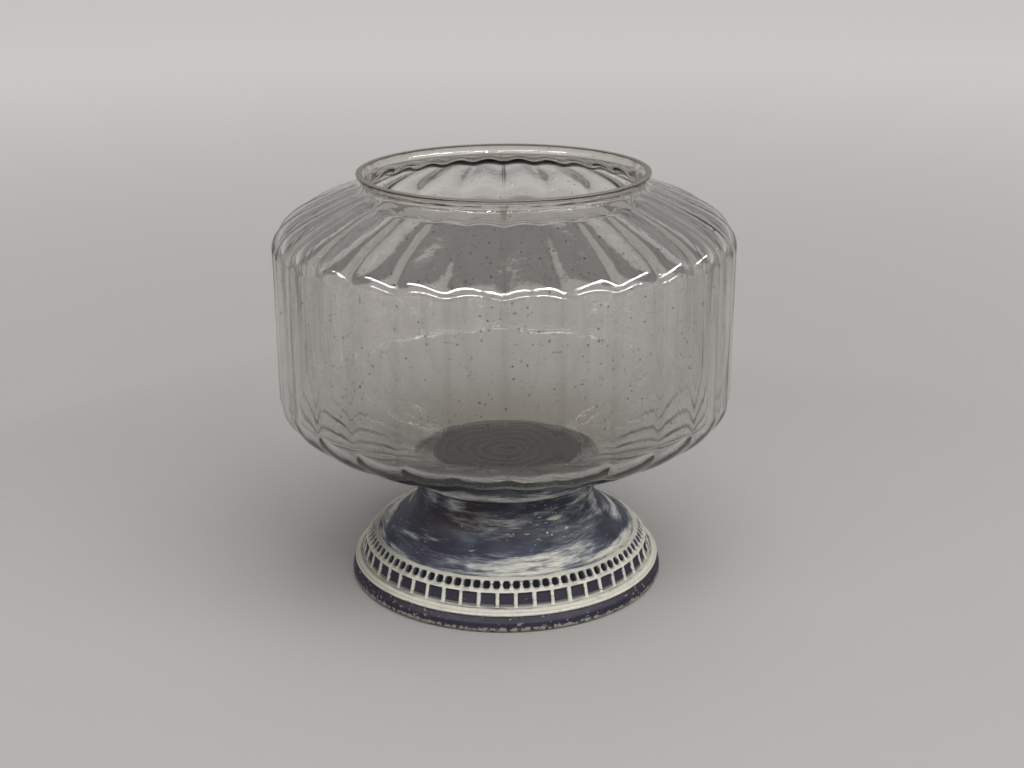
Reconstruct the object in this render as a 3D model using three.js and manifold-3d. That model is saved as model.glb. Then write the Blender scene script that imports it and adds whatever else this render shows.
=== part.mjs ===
// Glass pedestal bowl: a mould-blown fluted glass vessel bonded to a turned and painted wooden foot.
// Millimetres, +Z up. The origin is the centre of the foot, on the surface that the bowl stands on.

import * as THREE from "three";
import { mergeVertices } from "three/addons/utils/BufferGeometryUtils.js";
import Module from "manifold-3d";

const wasm = await Module();
wasm.setup();

// Wooden foot, in bands from the table up. A step is what the radius loses over a band.
const FOOT_RADIUS = 58.5;
const FOOT_EDGE_BEVEL = 0.9;
const FOOT_BAND_HEIGHT = 5.6;
const FOOT_BAND_STEP = 1.4;
const TORUS_HEIGHT = 2.1;
const TORUS_BULGE = 0.7;
const TORUS_STEP = 1.6;
const QUIRK_DEPTH = 1.1;
const DENTIL_BAND_HEIGHT = 5.3;
const DENTIL_BAND_STEP = 1.5;
const FILLET_HEIGHT = 0.9;
const FILLET_STEP = 1.1;
const BEAD_BAND_HEIGHT = 2.5;
const BEAD_BAND_STEP = 1.8;
const LEDGE_WIDTH = 3.3;
const LEDGE_RISE = 0.6;

// Flared neck and its top lip, which carries the glass
const NECK_RADIUS = 33;
const FLARE_HEIGHT = 16;
const NECK_HEIGHT = 3.8;
const COVE_HEIGHT = 2.8;
const LIP_OVERHANG = 3.4;
const LIP_HEIGHT = 2.9;
const LIP_ROUND = 1.2;

// Carved rings: dentil recesses between thin bars, and small notches between beads
const DENTIL_COUNT = 51;
const DENTIL_BAR_WIDTH = 1.2;
const DENTIL_DEPTH = 0.9;
const DENTIL_SILL = 0.55;
const BEAD_COUNT = 91;
const BEAD_WIDTH = 1.6;
const BEAD_NOTCH_DEPTH = 1.1;
const BEAD_SILL = 0.3;

// Felt pad, let in flush under the foot
const FELT_MARGIN = 8.2;
const FELT_THICKNESS = 1.2;
const FELT_CLEARANCE = 0.3;

// Clear adhesive between the lip and the glass
const BOND_THICKNESS = 0.8;
const BOND_SQUEEZE_OUT = 1.5;

// Glass outline over the crests of the flutes, in heights from the bond up
const SEAT_RADIUS = 29;
const BELLY_RADIUS = 82.5;
const THROAT_RADIUS = 50.6;
const RIM_RADIUS = 52.1;
const UNDERSIDE_HEIGHT = 28.5;
const SIDE_HEIGHT = 54;
const SHOULDER_HEIGHT = 20.3;
const THROAT_HEIGHT = 2.4;
const THROAT_FILLET = 4;
const NECK_COLLAR_HEIGHT = 3.5;
const RIM_BEVEL = 0.35;

// Shape of the two big curves, as parts of their own width and height
const UNDERSIDE_DROP = 0.54;
const UNDERSIDE_REACH = 0.16;
const UNDERSIDE_LIFT = 0.08;
const SHOULDER_REACH = 0.63;
const SHOULDER_FALL = 0.3;
const SHOULDER_CROWN = 0.47;

// Glass wall
const RIM_WALL = 2.1;
const SHOULDER_WALL = 2.4;
const SIDE_WALL = 2.6;
const BASE_WALL = 4.6;

// Flutes: rounded lobes with a crease between, fading out at the rim and at the seat
const FLUTE_COUNT = 28;
const RIM_FLUTE_DEPTH = 0.15;
const THROAT_FLUTE_DEPTH = 0.7;
const SHOULDER_FLUTE_DEPTH = 1.5;
const SIDE_FLUTE_DEPTH = 1.6;
const SEAT_FLUTE_DEPTH = 0;
const INNER_FLUTE_SHARE = 0.85;

// Fineness of the facets
const SEGMENTS_PER_FLUTE = 4;
const FOOT_SEGMENTS = BEAD_COUNT;
const DISC_SEGMENTS = 48;
const CUTTER_REACH = 3;

const TAU = Math.PI * 2;

// Heights and radii that follow from the bands of the foot
const torusBottom = FOOT_BAND_HEIGHT;
const dentilBottom = torusBottom + TORUS_HEIGHT;
const filletBottom = dentilBottom + DENTIL_BAND_HEIGHT;
const beadBottom = filletBottom + FILLET_HEIGHT;
const ledgeBottom = beadBottom + BEAD_BAND_HEIGHT;
const flareBottom = ledgeBottom + LEDGE_RISE;
const neckBottom = flareBottom + FLARE_HEIGHT;
const coveBottom = neckBottom + NECK_HEIGHT;
const lipBottom = coveBottom + COVE_HEIGHT;
const footTop = lipBottom + LIP_HEIGHT;

const torusRadius = FOOT_RADIUS - FOOT_BAND_STEP;
const torusTopRadius = torusRadius - TORUS_STEP;
const dentilRadius = torusTopRadius - QUIRK_DEPTH;
const filletRadius = dentilRadius - DENTIL_BAND_STEP;
const beadRadius = filletRadius - FILLET_STEP;
const ledgeRadius = beadRadius - BEAD_BAND_STEP;
const flareRadius = ledgeRadius - LEDGE_WIDTH;
const lipRadius = NECK_RADIUS + LIP_OVERHANG;
const feltRecessRadius = FOOT_RADIUS - FELT_MARGIN;

// Heights of the glass
const seatHeight = footTop + BOND_THICKNESS;
const sideBottom = seatHeight + UNDERSIDE_HEIGHT;
const sideTop = sideBottom + SIDE_HEIGHT;
const shoulderTop = sideTop + SHOULDER_HEIGHT;
const throatTop = shoulderTop + THROAT_HEIGHT;
const rimHeight = throatTop + NECK_COLLAR_HEIGHT;

const paintedWood = new THREE.MeshStandardMaterial({ color: 0x4a5568, roughness: 0.62, metalness: 0 });
const greenishGlass = new THREE.MeshStandardMaterial({
  color: 0xd6dcd2,
  roughness: 0.04,
  metalness: 0,
  transparent: true,
  opacity: 0.35,
});
const clearAdhesive = new THREE.MeshStandardMaterial({
  color: 0xb9b8a2,
  roughness: 0.2,
  metalness: 0,
  transparent: true,
  opacity: 0.6,
});
const darkFelt = new THREE.MeshStandardMaterial({ color: 0x2a2b2e, roughness: 0.95, metalness: 0 });

// A geometry with only positions, its shared vertices merged, ready to be cut
function weld(geometry) {
  const welded = geometry.clone();
  welded.deleteAttribute("normal");
  welded.deleteAttribute("uv");
  return mergeVertices(welded, 1e-4);
}

function toSolid(geometry) {
  const welded = weld(geometry);
  return new wasm.Manifold(new wasm.Mesh({
    numProp: 3,
    vertProperties: new Float32Array(welded.attributes.position.array),
    triVerts: new Uint32Array(welded.index.array),
  }));
}

function toGeometry(solid) {
  const mesh = solid.getMesh();
  const geometry = new THREE.BufferGeometry();
  geometry.setAttribute("position", new THREE.BufferAttribute(mesh.vertProperties, 3));
  geometry.setIndex(new THREE.BufferAttribute(mesh.triVerts, 1));
  geometry.computeVertexNormals();
  return geometry;
}

// Revolves a profile of [radius, height] pairs about +Z, with the middle of a facet facing -Y.
// The profile runs from the bottom up.
function turned(profile, segments) {
  const points = profile.map(([radius, height]) => new THREE.Vector2(radius, height));
  const halfFacet = TAU / segments / 2;
  return new THREE.LatheGeometry(points, segments, -halfFacet).rotateX(Math.PI / 2);
}

// Points on a curve without its first, so that joined stretches share no point
function laterPoints(curve, divisions) {
  return curve.getPoints(divisions).slice(1).map((point) => [point.x, point.y]);
}

function bezier(...corners) {
  return new THREE.CubicBezierCurve(...corners.map(([radius, height]) => new THREE.Vector2(radius, height)));
}

// Half-round moulding that swells out of the slope between two points
function torusPoints() {
  const swell = torusRadius + TORUS_BULGE;
  return laterPoints(bezier(
    [torusRadius - TORUS_BULGE, torusBottom],
    [swell, torusBottom + TORUS_HEIGHT * 0.1],
    [swell, torusBottom + TORUS_HEIGHT * 0.75],
    [torusTopRadius, dentilBottom],
  ), 3);
}

// Hollow sweep from the ledge up to the neck
function flarePoints() {
  const span = flareRadius - NECK_RADIUS;
  return laterPoints(bezier(
    [flareRadius, flareBottom],
    [flareRadius - span * 0.38, flareBottom + FLARE_HEIGHT * 0.29],
    [NECK_RADIUS + span * 0.03, flareBottom + FLARE_HEIGHT * 0.47],
    [NECK_RADIUS, neckBottom],
  ), 4);
}

// Small cove under the lip, and the lip's rounded edge
function lipPoints() {
  const cove = laterPoints(bezier(
    [NECK_RADIUS, coveBottom],
    [NECK_RADIUS, coveBottom + COVE_HEIGHT * 0.7],
    [NECK_RADIUS + LIP_OVERHANG * 0.3, lipBottom],
    [lipRadius - LIP_ROUND, lipBottom],
  ), 2);
  const edge = laterPoints(bezier(
    [lipRadius - LIP_ROUND, lipBottom],
    [lipRadius + LIP_ROUND * 0.3, lipBottom],
    [lipRadius + LIP_ROUND * 0.3, footTop],
    [lipRadius - LIP_ROUND, footTop],
  ), 3);
  return [...cove, ...edge];
}

function footProfile() {
  return [
    [0, FELT_THICKNESS],
    [feltRecessRadius, FELT_THICKNESS],
    [feltRecessRadius, 0],
    [FOOT_RADIUS - FOOT_EDGE_BEVEL, 0],
    [FOOT_RADIUS, FOOT_EDGE_BEVEL],
    [FOOT_RADIUS - FOOT_BAND_STEP * 0.3, FOOT_BAND_HEIGHT * 0.6],
    [torusRadius - TORUS_BULGE, torusBottom],
    ...torusPoints(),
    [dentilRadius, dentilBottom + TORUS_BULGE * 0.2],
    [filletRadius, filletBottom],
    [beadRadius, beadBottom],
    [ledgeRadius, ledgeBottom],
    [flareRadius, flareBottom],
    ...flarePoints(),
    [NECK_RADIUS, coveBottom],
    ...lipPoints(),
    [0, footTop],
  ];
}

// A ring of equal cutters that sink into a sloping band and leave bars of one width between them
function ringCutters({ count, barWidth, depth, sill, bottom, top, bottomRadius, topRadius }) {
  const slope = (topRadius - bottomRadius) / (top - bottom);
  const low = bottom + sill;
  const high = top - sill;
  const faceAt = (height) => bottomRadius + slope * (height - bottom);
  const outline = new THREE.Shape([
    new THREE.Vector2(faceAt(low) - depth, low),
    new THREE.Vector2(faceAt(low) + CUTTER_REACH, low),
    new THREE.Vector2(faceAt(high) + CUTTER_REACH, high),
    new THREE.Vector2(faceAt(high) - depth, high),
  ]);
  const pitch = TAU * faceAt((low + high) / 2) / count;
  const width = pitch - barWidth;
  const cutter = new THREE.ExtrudeGeometry(outline, { depth: width, bevelEnabled: false });
  cutter.translate(0, 0, -width / 2).rotateX(Math.PI / 2);
  const cutters = [];
  for (let index = 0; index < count; index += 1) {
    const turn = TAU * index / count - TAU / 4;
    cutters.push(toSolid(cutter.clone().rotateZ(turn)));
  }
  return cutters;
}

// Turned foot with the dentil ring and the bead ring cut into it
function makePedestal() {
  const dentils = ringCutters({
    count: DENTIL_COUNT,
    barWidth: DENTIL_BAR_WIDTH,
    depth: DENTIL_DEPTH,
    sill: DENTIL_SILL,
    bottom: dentilBottom,
    top: filletBottom,
    bottomRadius: dentilRadius,
    topRadius: filletRadius,
  });
  const notches = ringCutters({
    count: BEAD_COUNT,
    barWidth: BEAD_WIDTH,
    depth: BEAD_NOTCH_DEPTH,
    sill: BEAD_SILL,
    bottom: beadBottom,
    top: ledgeBottom,
    bottomRadius: beadRadius,
    topRadius: ledgeRadius,
  });
  let wood = toSolid(turned(footProfile(), FOOT_SEGMENTS));
  for (const cutter of [...dentils, ...notches]) {
    wood = wood.subtract(cutter);
  }
  return toGeometry(wood);
}

function disc(radius, bottom, thickness) {
  return weld(turned([[0, bottom], [radius, bottom], [radius, bottom + thickness], [0, bottom + thickness]],
    DISC_SEGMENTS));
}

function makeFeltPad() {
  return disc(feltRecessRadius - FELT_CLEARANCE, 0, FELT_THICKNESS);
}

function makeAdhesive() {
  return disc(SEAT_RADIUS + BOND_SQUEEZE_OUT, footTop, BOND_THICKNESS);
}

// The glass outline from the seat up, in stretches that each state their rings, wall and flute depth
function bowlStretches() {
  const bellySpan = BELLY_RADIUS - SEAT_RADIUS;
  const shoulderSpan = BELLY_RADIUS - THROAT_RADIUS;
  const underside = bezier(
    [SEAT_RADIUS, seatHeight],
    [SEAT_RADIUS + bellySpan * UNDERSIDE_REACH, seatHeight + UNDERSIDE_HEIGHT * UNDERSIDE_LIFT],
    [BELLY_RADIUS, sideBottom - UNDERSIDE_HEIGHT * UNDERSIDE_DROP],
    [BELLY_RADIUS, sideBottom],
  );
  const side = bezier(
    [BELLY_RADIUS, sideBottom],
    [BELLY_RADIUS, sideBottom + SIDE_HEIGHT / 3],
    [BELLY_RADIUS, sideTop - SIDE_HEIGHT / 3],
    [BELLY_RADIUS, sideTop],
  );
  const shoulder = bezier(
    [BELLY_RADIUS, sideTop],
    [BELLY_RADIUS, sideTop + SHOULDER_HEIGHT * SHOULDER_CROWN],
    [THROAT_RADIUS + shoulderSpan * SHOULDER_REACH, shoulderTop - SHOULDER_HEIGHT * SHOULDER_FALL],
    [THROAT_RADIUS + THROAT_FILLET, shoulderTop],
  );
  const throat = bezier(
    [THROAT_RADIUS + THROAT_FILLET, shoulderTop],
    [THROAT_RADIUS + THROAT_FILLET * 0.4, shoulderTop + THROAT_HEIGHT * 0.2],
    [THROAT_RADIUS, shoulderTop + THROAT_HEIGHT * 0.5],
    [THROAT_RADIUS, throatTop],
  );
  const collar = bezier(
    [THROAT_RADIUS, throatTop],
    [THROAT_RADIUS, throatTop + NECK_COLLAR_HEIGHT * 0.3],
    [RIM_RADIUS, rimHeight - NECK_COLLAR_HEIGHT * 0.4],
    [RIM_RADIUS, rimHeight - RIM_BEVEL],
  );
  return [
    {
      curve: underside,
      rings: { outside: 5, inside: 4 },
      wall: [BASE_WALL, SIDE_WALL],
      flute: [SEAT_FLUTE_DEPTH, SIDE_FLUTE_DEPTH],
    },
    {
      curve: side,
      rings: { outside: 1, inside: 1 },
      wall: [SIDE_WALL, SIDE_WALL],
      flute: [SIDE_FLUTE_DEPTH, SIDE_FLUTE_DEPTH],
    },
    {
      curve: shoulder,
      rings: { outside: 5, inside: 4 },
      wall: [SIDE_WALL, SHOULDER_WALL],
      flute: [SIDE_FLUTE_DEPTH, SHOULDER_FLUTE_DEPTH],
    },
    {
      curve: throat,
      rings: { outside: 2, inside: 1 },
      wall: [SHOULDER_WALL, RIM_WALL],
      flute: [SHOULDER_FLUTE_DEPTH, THROAT_FLUTE_DEPTH],
    },
    {
      curve: collar,
      rings: { outside: 2, inside: 1 },
      wall: [RIM_WALL, RIM_WALL],
      flute: [THROAT_FLUTE_DEPTH, RIM_FLUTE_DEPTH],
    },
  ];
}

// Samples the stretches into stations, each with its place, outward normal, wall and flute depth
function bowlStations(skin) {
  const stations = [];
  for (const { curve, rings, wall, flute } of bowlStretches()) {
    for (let step = stations.length ? 1 : 0; step <= rings[skin]; step += 1) {
      const part = step / rings[skin];
      const eased = part * part * (3 - 2 * part);
      const place = curve.getPoint(part);
      const tangent = curve.getTangent(part);
      stations.push({
        radius: place.x,
        height: place.y,
        outward: new THREE.Vector2(tangent.y, -tangent.x),
        wall: THREE.MathUtils.lerp(wall[0], wall[1], eased),
        flute: THREE.MathUtils.lerp(flute[0], flute[1], eased),
      });
    }
  }
  return stations;
}

// One ring of points. The crease between two lobes lies on -Y, at the mould's parting line.
function flutedRing(station, inset, flute) {
  const ring = [];
  const segments = FLUTE_COUNT * SEGMENTS_PER_FLUTE;
  for (let index = 0; index < segments; index += 1) {
    const angle = TAU * index / segments - TAU / 4;
    const lobe = Math.abs(Math.sin(Math.PI * index / SEGMENTS_PER_FLUTE));
    const depth = inset + flute * (1 - lobe);
    const radius = station.radius - station.outward.x * depth;
    const height = station.height - station.outward.y * depth;
    ring.push(radius * Math.cos(angle), radius * Math.sin(angle), height);
  }
  return ring;
}

function flatRing(radius, height) {
  const still = { radius, height, outward: new THREE.Vector2(1, 0) };
  return flutedRing(still, 0, 0);
}

// Skins a stack of equal rings, with a fan to the axis at the first ring and at the last
function skinRings(rings, firstHeight, lastHeight) {
  const segments = rings[0].length / 3;
  const positions = rings.flat();
  const first = rings.length * segments;
  const last = first + 1;
  positions.push(0, 0, firstHeight, 0, 0, lastHeight);
  const faces = [];
  for (let segment = 0; segment < segments; segment += 1) {
    const next = (segment + 1) % segments;
    faces.push(first, next, segment);
    for (let ring = 0; ring + 1 < rings.length; ring += 1) {
      const here = ring * segments;
      const above = here + segments;
      faces.push(here + segment, here + next, above + next);
      faces.push(here + segment, above + next, above + segment);
    }
    const top = (rings.length - 1) * segments;
    faces.push(last, top + segment, top + next);
  }
  const geometry = new THREE.BufferGeometry();
  geometry.setAttribute("position", new THREE.Float32BufferAttribute(positions, 3));
  geometry.setIndex(faces);
  geometry.computeVertexNormals();
  return geometry;
}

// Outside of the glass from the seat to the rim, over the ground rim and down the inside
function makeBowl() {
  const floorHeight = seatHeight + BASE_WALL;
  const outside = bowlStations("outside").map((station) => flutedRing(station, 0, station.flute));
  const rimOuter = flatRing(RIM_RADIUS - RIM_BEVEL, rimHeight);
  const rimInner = flatRing(RIM_RADIUS - RIM_WALL + RIM_BEVEL, rimHeight);
  const inside = bowlStations("inside")
    .map((station) => flutedRing(station, station.wall, station.flute * INNER_FLUTE_SHARE));
  return skinRings([...outside, rimOuter, rimInner, ...inside.reverse()], seatHeight, floorHeight);
}

function piece(name, geometry, material) {
  const mesh = new THREE.Mesh(geometry, material);
  mesh.name = name;
  return mesh;
}

const bowl = new THREE.Group();
bowl.add(
  piece("felt_pad", makeFeltPad(), darkFelt),
  piece("pedestal", makePedestal(), paintedWood),
  piece("adhesive_bond", makeAdhesive(), clearAdhesive),
  piece("glass_bowl", makeBowl(), greenishGlass),
);

export default bowl;
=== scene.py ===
"""Looks of the glass pedestal bowl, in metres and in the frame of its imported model.

Builds the fluted glass, the adhesive under it, the painted foot and the felt let into it, dresses each
piece in a procedural finish, and stages the bowl on a plain pale floor.
"""

import logging
import math
from collections.abc import Sequence
from dataclasses import dataclass, field
from enum import Enum
from functools import cache
from itertools import accumulate
from operator import sub

import bmesh
import bpy
import numpy as np
from bpy.types import Material, Node, NodeSocket, NodeTree, Object
from mathutils import Matrix, Vector, noise


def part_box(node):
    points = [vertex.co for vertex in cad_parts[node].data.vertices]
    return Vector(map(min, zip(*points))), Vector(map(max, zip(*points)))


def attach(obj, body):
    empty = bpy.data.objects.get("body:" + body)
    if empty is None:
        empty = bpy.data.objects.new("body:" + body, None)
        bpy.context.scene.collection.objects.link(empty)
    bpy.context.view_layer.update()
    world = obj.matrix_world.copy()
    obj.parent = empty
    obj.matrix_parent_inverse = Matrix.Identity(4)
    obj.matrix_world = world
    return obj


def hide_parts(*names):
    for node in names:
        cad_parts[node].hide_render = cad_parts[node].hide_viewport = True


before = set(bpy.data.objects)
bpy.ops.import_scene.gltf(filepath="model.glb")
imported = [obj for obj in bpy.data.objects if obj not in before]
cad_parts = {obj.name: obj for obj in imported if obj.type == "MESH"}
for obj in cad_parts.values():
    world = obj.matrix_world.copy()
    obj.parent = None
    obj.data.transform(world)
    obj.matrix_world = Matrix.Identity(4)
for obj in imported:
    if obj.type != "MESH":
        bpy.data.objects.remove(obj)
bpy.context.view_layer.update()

TAU = math.tau
FRONT = -TAU / 4
PATTERN_STEP = (17.3, 5.7, 11.1)
Array = np.ndarray
Pair = tuple[float, float]
Triple = tuple[float, float, float]
Colour = Triple
log = logging.getLogger("pedestal_bowl")


def smooth(low: float, high: float, value: Array) -> Array:
    """Rises smoothly from 0 at low to 1 at high.

    Args:
        low: Value at which the rise starts.
        high: Value at which it ends. It may be the lower one, for a fall.
        value: Values to be read.

    Returns:
        Shares from 0 to 1, in the shape of value.
    """
    part = np.clip((value - low) / (high - low), 0, 1)
    return part * part * (3 - 2 * part)


def waver(points: Array, size: float, seed: float) -> Array:
    """Smooth unevenness at a set of points.

    Args:
        points: Places, as rows of three values in metres.
        size: Rough size of one swell in metres.
        seed: Picks one pattern out of many.

    Returns:
        One value per point, from about -1 to 1.
    """
    shift = Vector([seed * step for step in PATTERN_STEP])
    return np.array([noise.noise(Vector(point) / size + shift) for point in points])


def bezier(corners: Sequence[Pair], parts: Array) -> tuple[Array, Array]:
    """Samples a cubic curve in the plane of an outline.

    Args:
        corners: The four control points, as radius and height.
        parts: Places along the curve, from 0 to 1.

    Returns:
        The points, and the unit vectors along the curve there.
    """
    first, second, third, last = (np.array(corner) for corner in corners)
    t = parts[:, None]
    points = (1 - t) ** 3 * first + 3 * (1 - t) ** 2 * t * second + 3 * (1 - t) * t**2 * third + t**3 * last
    along = (1 - t) ** 2 * (second - first) + 2 * (1 - t) * t * (third - second) + t**2 * (last - third)
    return points, along / np.linalg.norm(along, axis=1, keepdims=True)


def even_turns(columns: int) -> Array:
    """Angles of evenly spaced columns."""
    return np.arange(columns) * TAU / columns


def around(radius: Array, height: Array, angles: Array) -> Array:
    """Places rings of points about the axis.

    Args:
        radius: Radius of each point, as rings by columns, or one value per ring.
        height: Height of each point, in the same form.
        angles: Angle of each column about +Z, from +X.

    Returns:
        Points as rings by columns by three.
    """
    shape = (len(radius), len(angles))
    if radius.ndim == 1:
        radius, height = radius[:, None], height[:, None]
    parts = (radius * np.cos(angles), radius * np.sin(angles), height)
    return np.stack([np.broadcast_to(part, shape) for part in parts], axis=-1)


def skin(
    name: str,
    rings: Array,
    marks: dict[str, Array] | None = None,
    hollows: tuple[Array, Array] | None = None,
) -> Object:
    """Skins a stack of rings into one closed mesh, with a fan to the axis at both ends.

    Args:
        name: Name of the piece.
        rings: Points as rings by columns by three. The first ring is the lowest on the outside.
        marks: Values per point that the finish reads, as rings by columns, by name.
        hollows: Points and triangles of closed hollows inside the body.

    Returns:
        The new object, shaded smooth.
    """
    count, columns = rings.shape[:2]
    ends = np.array([[0, 0, rings[0, :, 2].mean()], [0, 0, rings[-1, :, 2].mean()]])
    points = np.concatenate([rings.reshape(-1, 3), ends])
    here = np.arange(columns)
    after = np.roll(here, -1)
    below = np.arange(count - 1)[:, None] * columns
    above = below + columns
    sides = np.stack([below + here, below + after, above + after, above + here], axis=-1)
    first, last, top = count * columns, count * columns + 1, (count - 1) * columns
    bottom_fan = np.stack([np.full(columns, first), after, here], axis=-1)
    top_fan = np.stack([np.full(columns, last), top + here, top + after], axis=-1)
    faces = sides.reshape(-1, 4).tolist() + bottom_fan.tolist() + top_fan.tolist()
    if hollows:
        faces += (hollows[1] + len(points)).tolist()
        points = np.concatenate([points, hollows[0]])
    mesh = bpy.data.meshes.new(name)
    mesh.from_pydata(points.tolist(), [], faces)
    spare = np.zeros(len(points) - count * columns - 2)
    for mark, values in (marks or {}).items():
        data = np.concatenate([values.reshape(-1), values[0, :1], values[-1, :1], spare])
        mesh.attributes.new(mark, "FLOAT", "POINT").data.foreach_set("value", data.astype(np.float32))
    mesh.polygons.foreach_set("use_smooth", np.ones(len(mesh.polygons), bool))
    mesh.update()
    piece = bpy.data.objects.new(name, mesh)
    bpy.context.scene.collection.objects.link(piece)
    return piece


def seat(piece: Object, node: str) -> Object:
    """Puts a piece in the frame in place of a node of the model.

    Args:
        piece: The finished piece.
        node: The node that it stands for.

    Returns:
        The same piece.
    """
    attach(piece, "root")
    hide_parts(node)
    return piece


@dataclass(frozen=True)
class Cloud:
    """Settings of the mottle effect: the patches' size, where they fade in, their detail and stretch."""

    size: float
    low: float
    high: float
    detail: float = 3.0
    stretch: Triple = (1.0, 1.0, 1.0)


@dataclass(frozen=True)
class Spots:
    """Settings of the specks effect: from spot to spot, a spot's radius, and the share that is there."""

    spacing: float
    radius: float
    share: float


@dataclass(frozen=True)
class Rub:
    """Settings of the rubbed edge effect: how far the grain breaks the edge up, and how soft it is."""

    roughen: float
    soft: float


@dataclass(frozen=True)
class Relief:
    """How strongly a height bends the normal, and the height's real distance in metres."""

    strength: float
    distance: float


def inputs_of(settings: Cloud | Spots | Rub | Relief) -> dict[str, object]:
    """The fields of the settings, under the names of the inputs that take them."""
    return {name.capitalize(): value for name, value in vars(settings).items()}


class Graph:
    """A tree of shader nodes, written one call per node."""

    def __init__(self, tree: NodeTree) -> None:
        """Takes the tree that the nodes go into."""
        self.tree = tree

    def add(self, kind: str, inputs: dict | None = None, **settings: object) -> Node:
        """Adds one node.

        Args:
            kind: Blender's name for the node.
            inputs: Values or sockets for its inputs, by name or number.
            settings: Properties of the node itself.

        Returns:
            The new node.
        """
        node = self.tree.nodes.new(kind)
        for name, value in settings.items():
            setattr(node, name, value)
        for key, value in (inputs or {}).items():
            if isinstance(value, NodeSocket):
                self.tree.links.new(value, node.inputs[key])
            else:
                node.inputs[key].default_value = value
        return node

    def math(self, operation: str, *values: object) -> NodeSocket:
        """Adds a sum, product or the like, and returns its result."""
        return self.add("ShaderNodeMath", dict(enumerate(values)), operation=operation).outputs[0]

    def times(self, first: object, second: object) -> NodeSocket:
        """The product of two values."""
        return self.math("MULTIPLY", first, second)

    def plus(self, first: object, second: object) -> NodeSocket:
        """The sum of two values."""
        return self.math("ADD", first, second)

    def minus(self, first: object, second: object) -> NodeSocket:
        """The first value less the second."""
        return self.math("SUBTRACT", first, second)

    def larger(self, first: object, second: object) -> NodeSocket:
        """The larger of two values."""
        return self.math("MAXIMUM", first, second)

    def rise(self, value: object, low: object, high: object) -> NodeSocket:
        """Rises smoothly from 0 where value is low to 1 where it is high."""
        inputs = {"Value": value, "From Min": low, "From Max": high}
        return self.add("ShaderNodeMapRange", inputs, interpolation_type="SMOOTHSTEP").outputs[0]

    def mix(self, share: object, first: object, second: object) -> NodeSocket:
        """Mixes two colours, by the share of the second."""
        pair = [(*colour, 1) if isinstance(colour, tuple) else colour for colour in (first, second)]
        return self.add("ShaderNodeMix", {0: share, 6: pair[0], 7: pair[1]}, data_type="RGBA").outputs[2]

    def mark(self, name: str) -> NodeSocket:
        """Reads a value that the mesh keeps per point."""
        return self.add("ShaderNodeAttribute", attribute_name=name).outputs["Fac"]

    def place(self) -> NodeSocket:
        """The place on the object, in metres."""
        return self.add("ShaderNodeTexCoord").outputs["Object"]

    def parts(self, vector: NodeSocket) -> tuple[NodeSocket, ...]:
        """The X, Y and Z of a vector."""
        return tuple(self.add("ShaderNodeSeparateXYZ", {0: vector}).outputs)

    def bump(self, height: object, relief: Relief, **below: object) -> NodeSocket:
        """Bends the normal by a height, over the Normal below it if one is given."""
        return self.add("ShaderNodeBump", {**inputs_of(relief), "Height": height, **below}).outputs[0]

    def effect(self, tree: NodeTree, **inputs: object) -> NodeSocket:
        """Places a shared effect with its own inputs, and returns its result."""
        return self.add("ShaderNodeGroup", inputs, node_tree=tree).outputs[0]

    def cloud(self, place: NodeSocket, cloud: Cloud) -> NodeSocket:
        """Places the mottle effect, and returns its share."""
        return self.effect(mottle(), Place=place, **inputs_of(cloud))

    def spots(self, place: NodeSocket, spots: Spots) -> NodeSocket:
        """Places the specks effect, and returns its mask."""
        return self.effect(specks(), Place=place, **inputs_of(spots))

    def surface(self, volume: NodeSocket | None = None, **inputs: object) -> None:
        """Ends a material with its surface shader.

        Args:
            volume: Shader of the body, for glass.
            inputs: Values or sockets of the surface shader, with _ for each space in a name.
        """
        named = {name.replace("_", " "): value for name, value in inputs.items()}
        ends = {"Surface": self.add("ShaderNodeBsdfPrincipled", named).outputs[0]}
        if volume is not None:
            ends["Volume"] = volume
        self.add("ShaderNodeOutputMaterial", ends)


def start_effect(name: str, output: str, inputs: dict[str, float | Colour]) -> tuple[Graph, dict]:
    """Starts a shared effect: a group with named inputs and one output.

    Args:
        name: Name of the effect.
        output: Name of the value that it gives.
        inputs: Name and first value of each input. A tuple makes a vector.

    Returns:
        The group's graph, and its input sockets by name.
    """
    tree = bpy.data.node_groups.new(name, "ShaderNodeTree")
    for key, value in inputs.items():
        kind = "NodeSocketVector" if isinstance(value, tuple) else "NodeSocketFloat"
        tree.interface.new_socket(name=key, in_out="INPUT", socket_type=kind).default_value = value
    tree.interface.new_socket(name=output, in_out="OUTPUT", socket_type="NodeSocketFloat")
    graph = Graph(tree)
    given = graph.add("NodeGroupInput").outputs
    return graph, {key: given[key] for key in inputs}


@cache
def mottle() -> NodeTree:
    """Cloudy patches of one size, stretched if need be, as a share from 0 to 1.

    Returns:
        The effect, made at the first call.
    """
    inputs = {
        "Place": (0.0, 0.0, 0.0), "Size": 0.01, "Stretch": (1.0, 1.0, 1.0),
        "Low": 0.35, "High": 0.65, "Detail": 3.0,
    }
    graph, given = start_effect("mottle", "Share", inputs)
    scale = graph.math("DIVIDE", 1.0, given["Size"])
    drawn = graph.add("ShaderNodeVectorMath", {0: given["Place"], 1: given["Stretch"]}, operation="MULTIPLY")
    settings = {"Vector": drawn.outputs[0], "Scale": scale, "Detail": given["Detail"]}
    patches = graph.add("ShaderNodeTexNoise", settings).outputs["Fac"]
    graph.add("NodeGroupOutput", {"Share": graph.rise(patches, given["Low"], given["High"])})
    return graph.tree


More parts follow.
